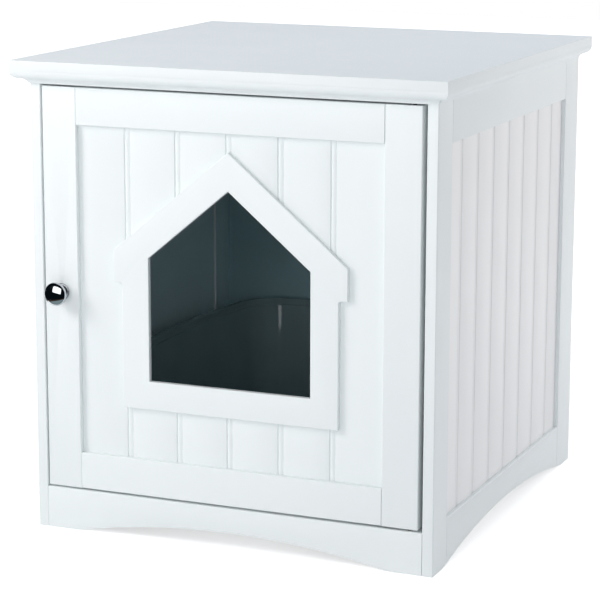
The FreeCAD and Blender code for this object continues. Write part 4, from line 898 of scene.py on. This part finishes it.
# %% [markdown]
# The room itself gives even light from all around, weaker than white. What is seen of it is white, by the camera
# and by mirrors, so the picture's background needs no backdrop behind the cabinet. Raising the room's light to
# white would do that as well, but it would flatten the shading of the boards.

# %% Room
ROOM_LIGHT = 0.42

world = bpy.data.worlds.new("studio")
bpy.context.scene.world = world
world.use_nodes = True
sky = world.node_tree
sky.nodes.clear()
room_light = add(sky, "Background", {"Color": linear("#FAFBFF"), "Strength": ROOM_LIGHT})
white_room = add(sky, "Background", {"Color": (1, 1, 1, 1), "Strength": 1.0})
both = add(sky, "MixShader", {0: rays_that_see(sky), 1: room_light.outputs[0], 2: white_room.outputs[0]})
add(sky, "OutputWorld", {"Surface": both.outputs[0]})
bpy.context.scene.view_settings.view_transform = "Standard"
print("room light:", ROOM_LIGHT)

# %% [markdown]
# Polished metal is only as dark or bright as what it mirrors. In a white studio a chrome knob would vanish, so
# a dark tent with one white window stands 0.9 m in front of the door, as photographers hang them for bright
# metal. A dark knob with a white patch painted on would show the same picture from every side, and a real
# reflection moves. The tent is part of a sphere about the knob, and its lower edge lies on the floor, dark far
# out and grey near the door. Only mirrored rays meet it, so it casts no shadow and lights nothing: it is a painted
# reflection. Its cloths glow rather than being lit, the window is a painted highlight, and the grey cloth near the
# door is a painted reflection of the floor.


# %% Tent for the knob
def towards(angles):
    """The unit vector for an azimuth from the front to the right and an elevation, in degrees."""
    turn, rise = np.moveaxis(np.radians(angles), -1, 0)
    return np.stack([np.cos(rise) * np.sin(turn), -np.cos(rise) * np.cos(turn), np.sin(rise)], axis=-1)


TENT_RADIUS, WINDOW_RADIUS, CLOTH_LIFT, FOLD_MM = 900, 880, 1.5, 30
DARK_EDGE, HEM_EDGE = -34, -42  # elevations, in degrees, where the dark cloth and its hem begin


def tent_part(name, radius, hex_code, glow, corners, straight=False):
    """A patch of a sphere about the knob between four corners, given by azimuth and elevation. Its edges keep to
    circles of equal angle. With straight=True they are great circles, which a mirror shows as straight edges.
    What would lie below the floor is drawn in towards the knob until it lies on the floor."""
    u, v = np.meshgrid(np.linspace(0, 1, 25), np.linspace(0, 1, 13))
    share = np.stack([(1 - u) * (1 - v), u * (1 - v), u * v, (1 - u) * v], axis=-1)
    corners = np.array(corners, float)
    reach = share @ towards(corners) if straight else towards(share @ corners)
    reach *= radius / np.linalg.norm(reach, axis=-1, keepdims=True)
    above_floor = knob_centre[2] - CLOTH_LIFT
    reach *= above_floor / np.maximum(-reach[..., 2:], above_floor)
    mesh = bpy.data.meshes.new(name)
    places = (reach + knob_centre + (0, door_face, 0)) * MM
    mesh.from_pydata(places.reshape(-1, 3).tolist(), [], grid_faces(13, 25).tolist())
    part = bpy.data.objects.new(name, mesh)
    bpy.context.scene.collection.objects.link(part)
    material, tree, where = new_material(name)
    cloth = ramp(tree, noise(tree, where, FOLD_MM), 0.8 * glow, glow)
    finish_material(tree, add(tree, "Emission", {"Color": linear(hex_code), "Strength": cloth}))
    dress(part, material)
    part.visible_camera = part.visible_diffuse = part.visible_shadow = part.visible_transmission = False


tent_part("dark_tent", TENT_RADIUS, "#0E1418", 1.0,
          [(-120, DARK_EDGE), (88, DARK_EDGE), (88, 90), (-120, 90)])
tent_part("brown_hem", TENT_RADIUS, "#4A3C36", 1.0,
          [(-85, HEM_EDGE), (85, HEM_EDGE), (85, DARK_EDGE), (-85, DARK_EDGE)])
# This cloth paints the floor's reflection in grey.
tent_part("painted_floor_reflection", TENT_RADIUS, "#93A6A8", 1.0,
          [(-85, -88), (85, -88), (85, HEM_EDGE), (-85, HEM_EDGE)])
# The window is a painted highlight: it glows to mirrored rays alone and lights nothing.
tent_part("window_painted_highlight", WINDOW_RADIUS, "#FFFFFF", 2.2, [(-28, 4), (25, -3), (45, 37), (-33, 42)], straight=True)
print("tent, in mm from the knob:", TENT_RADIUS)
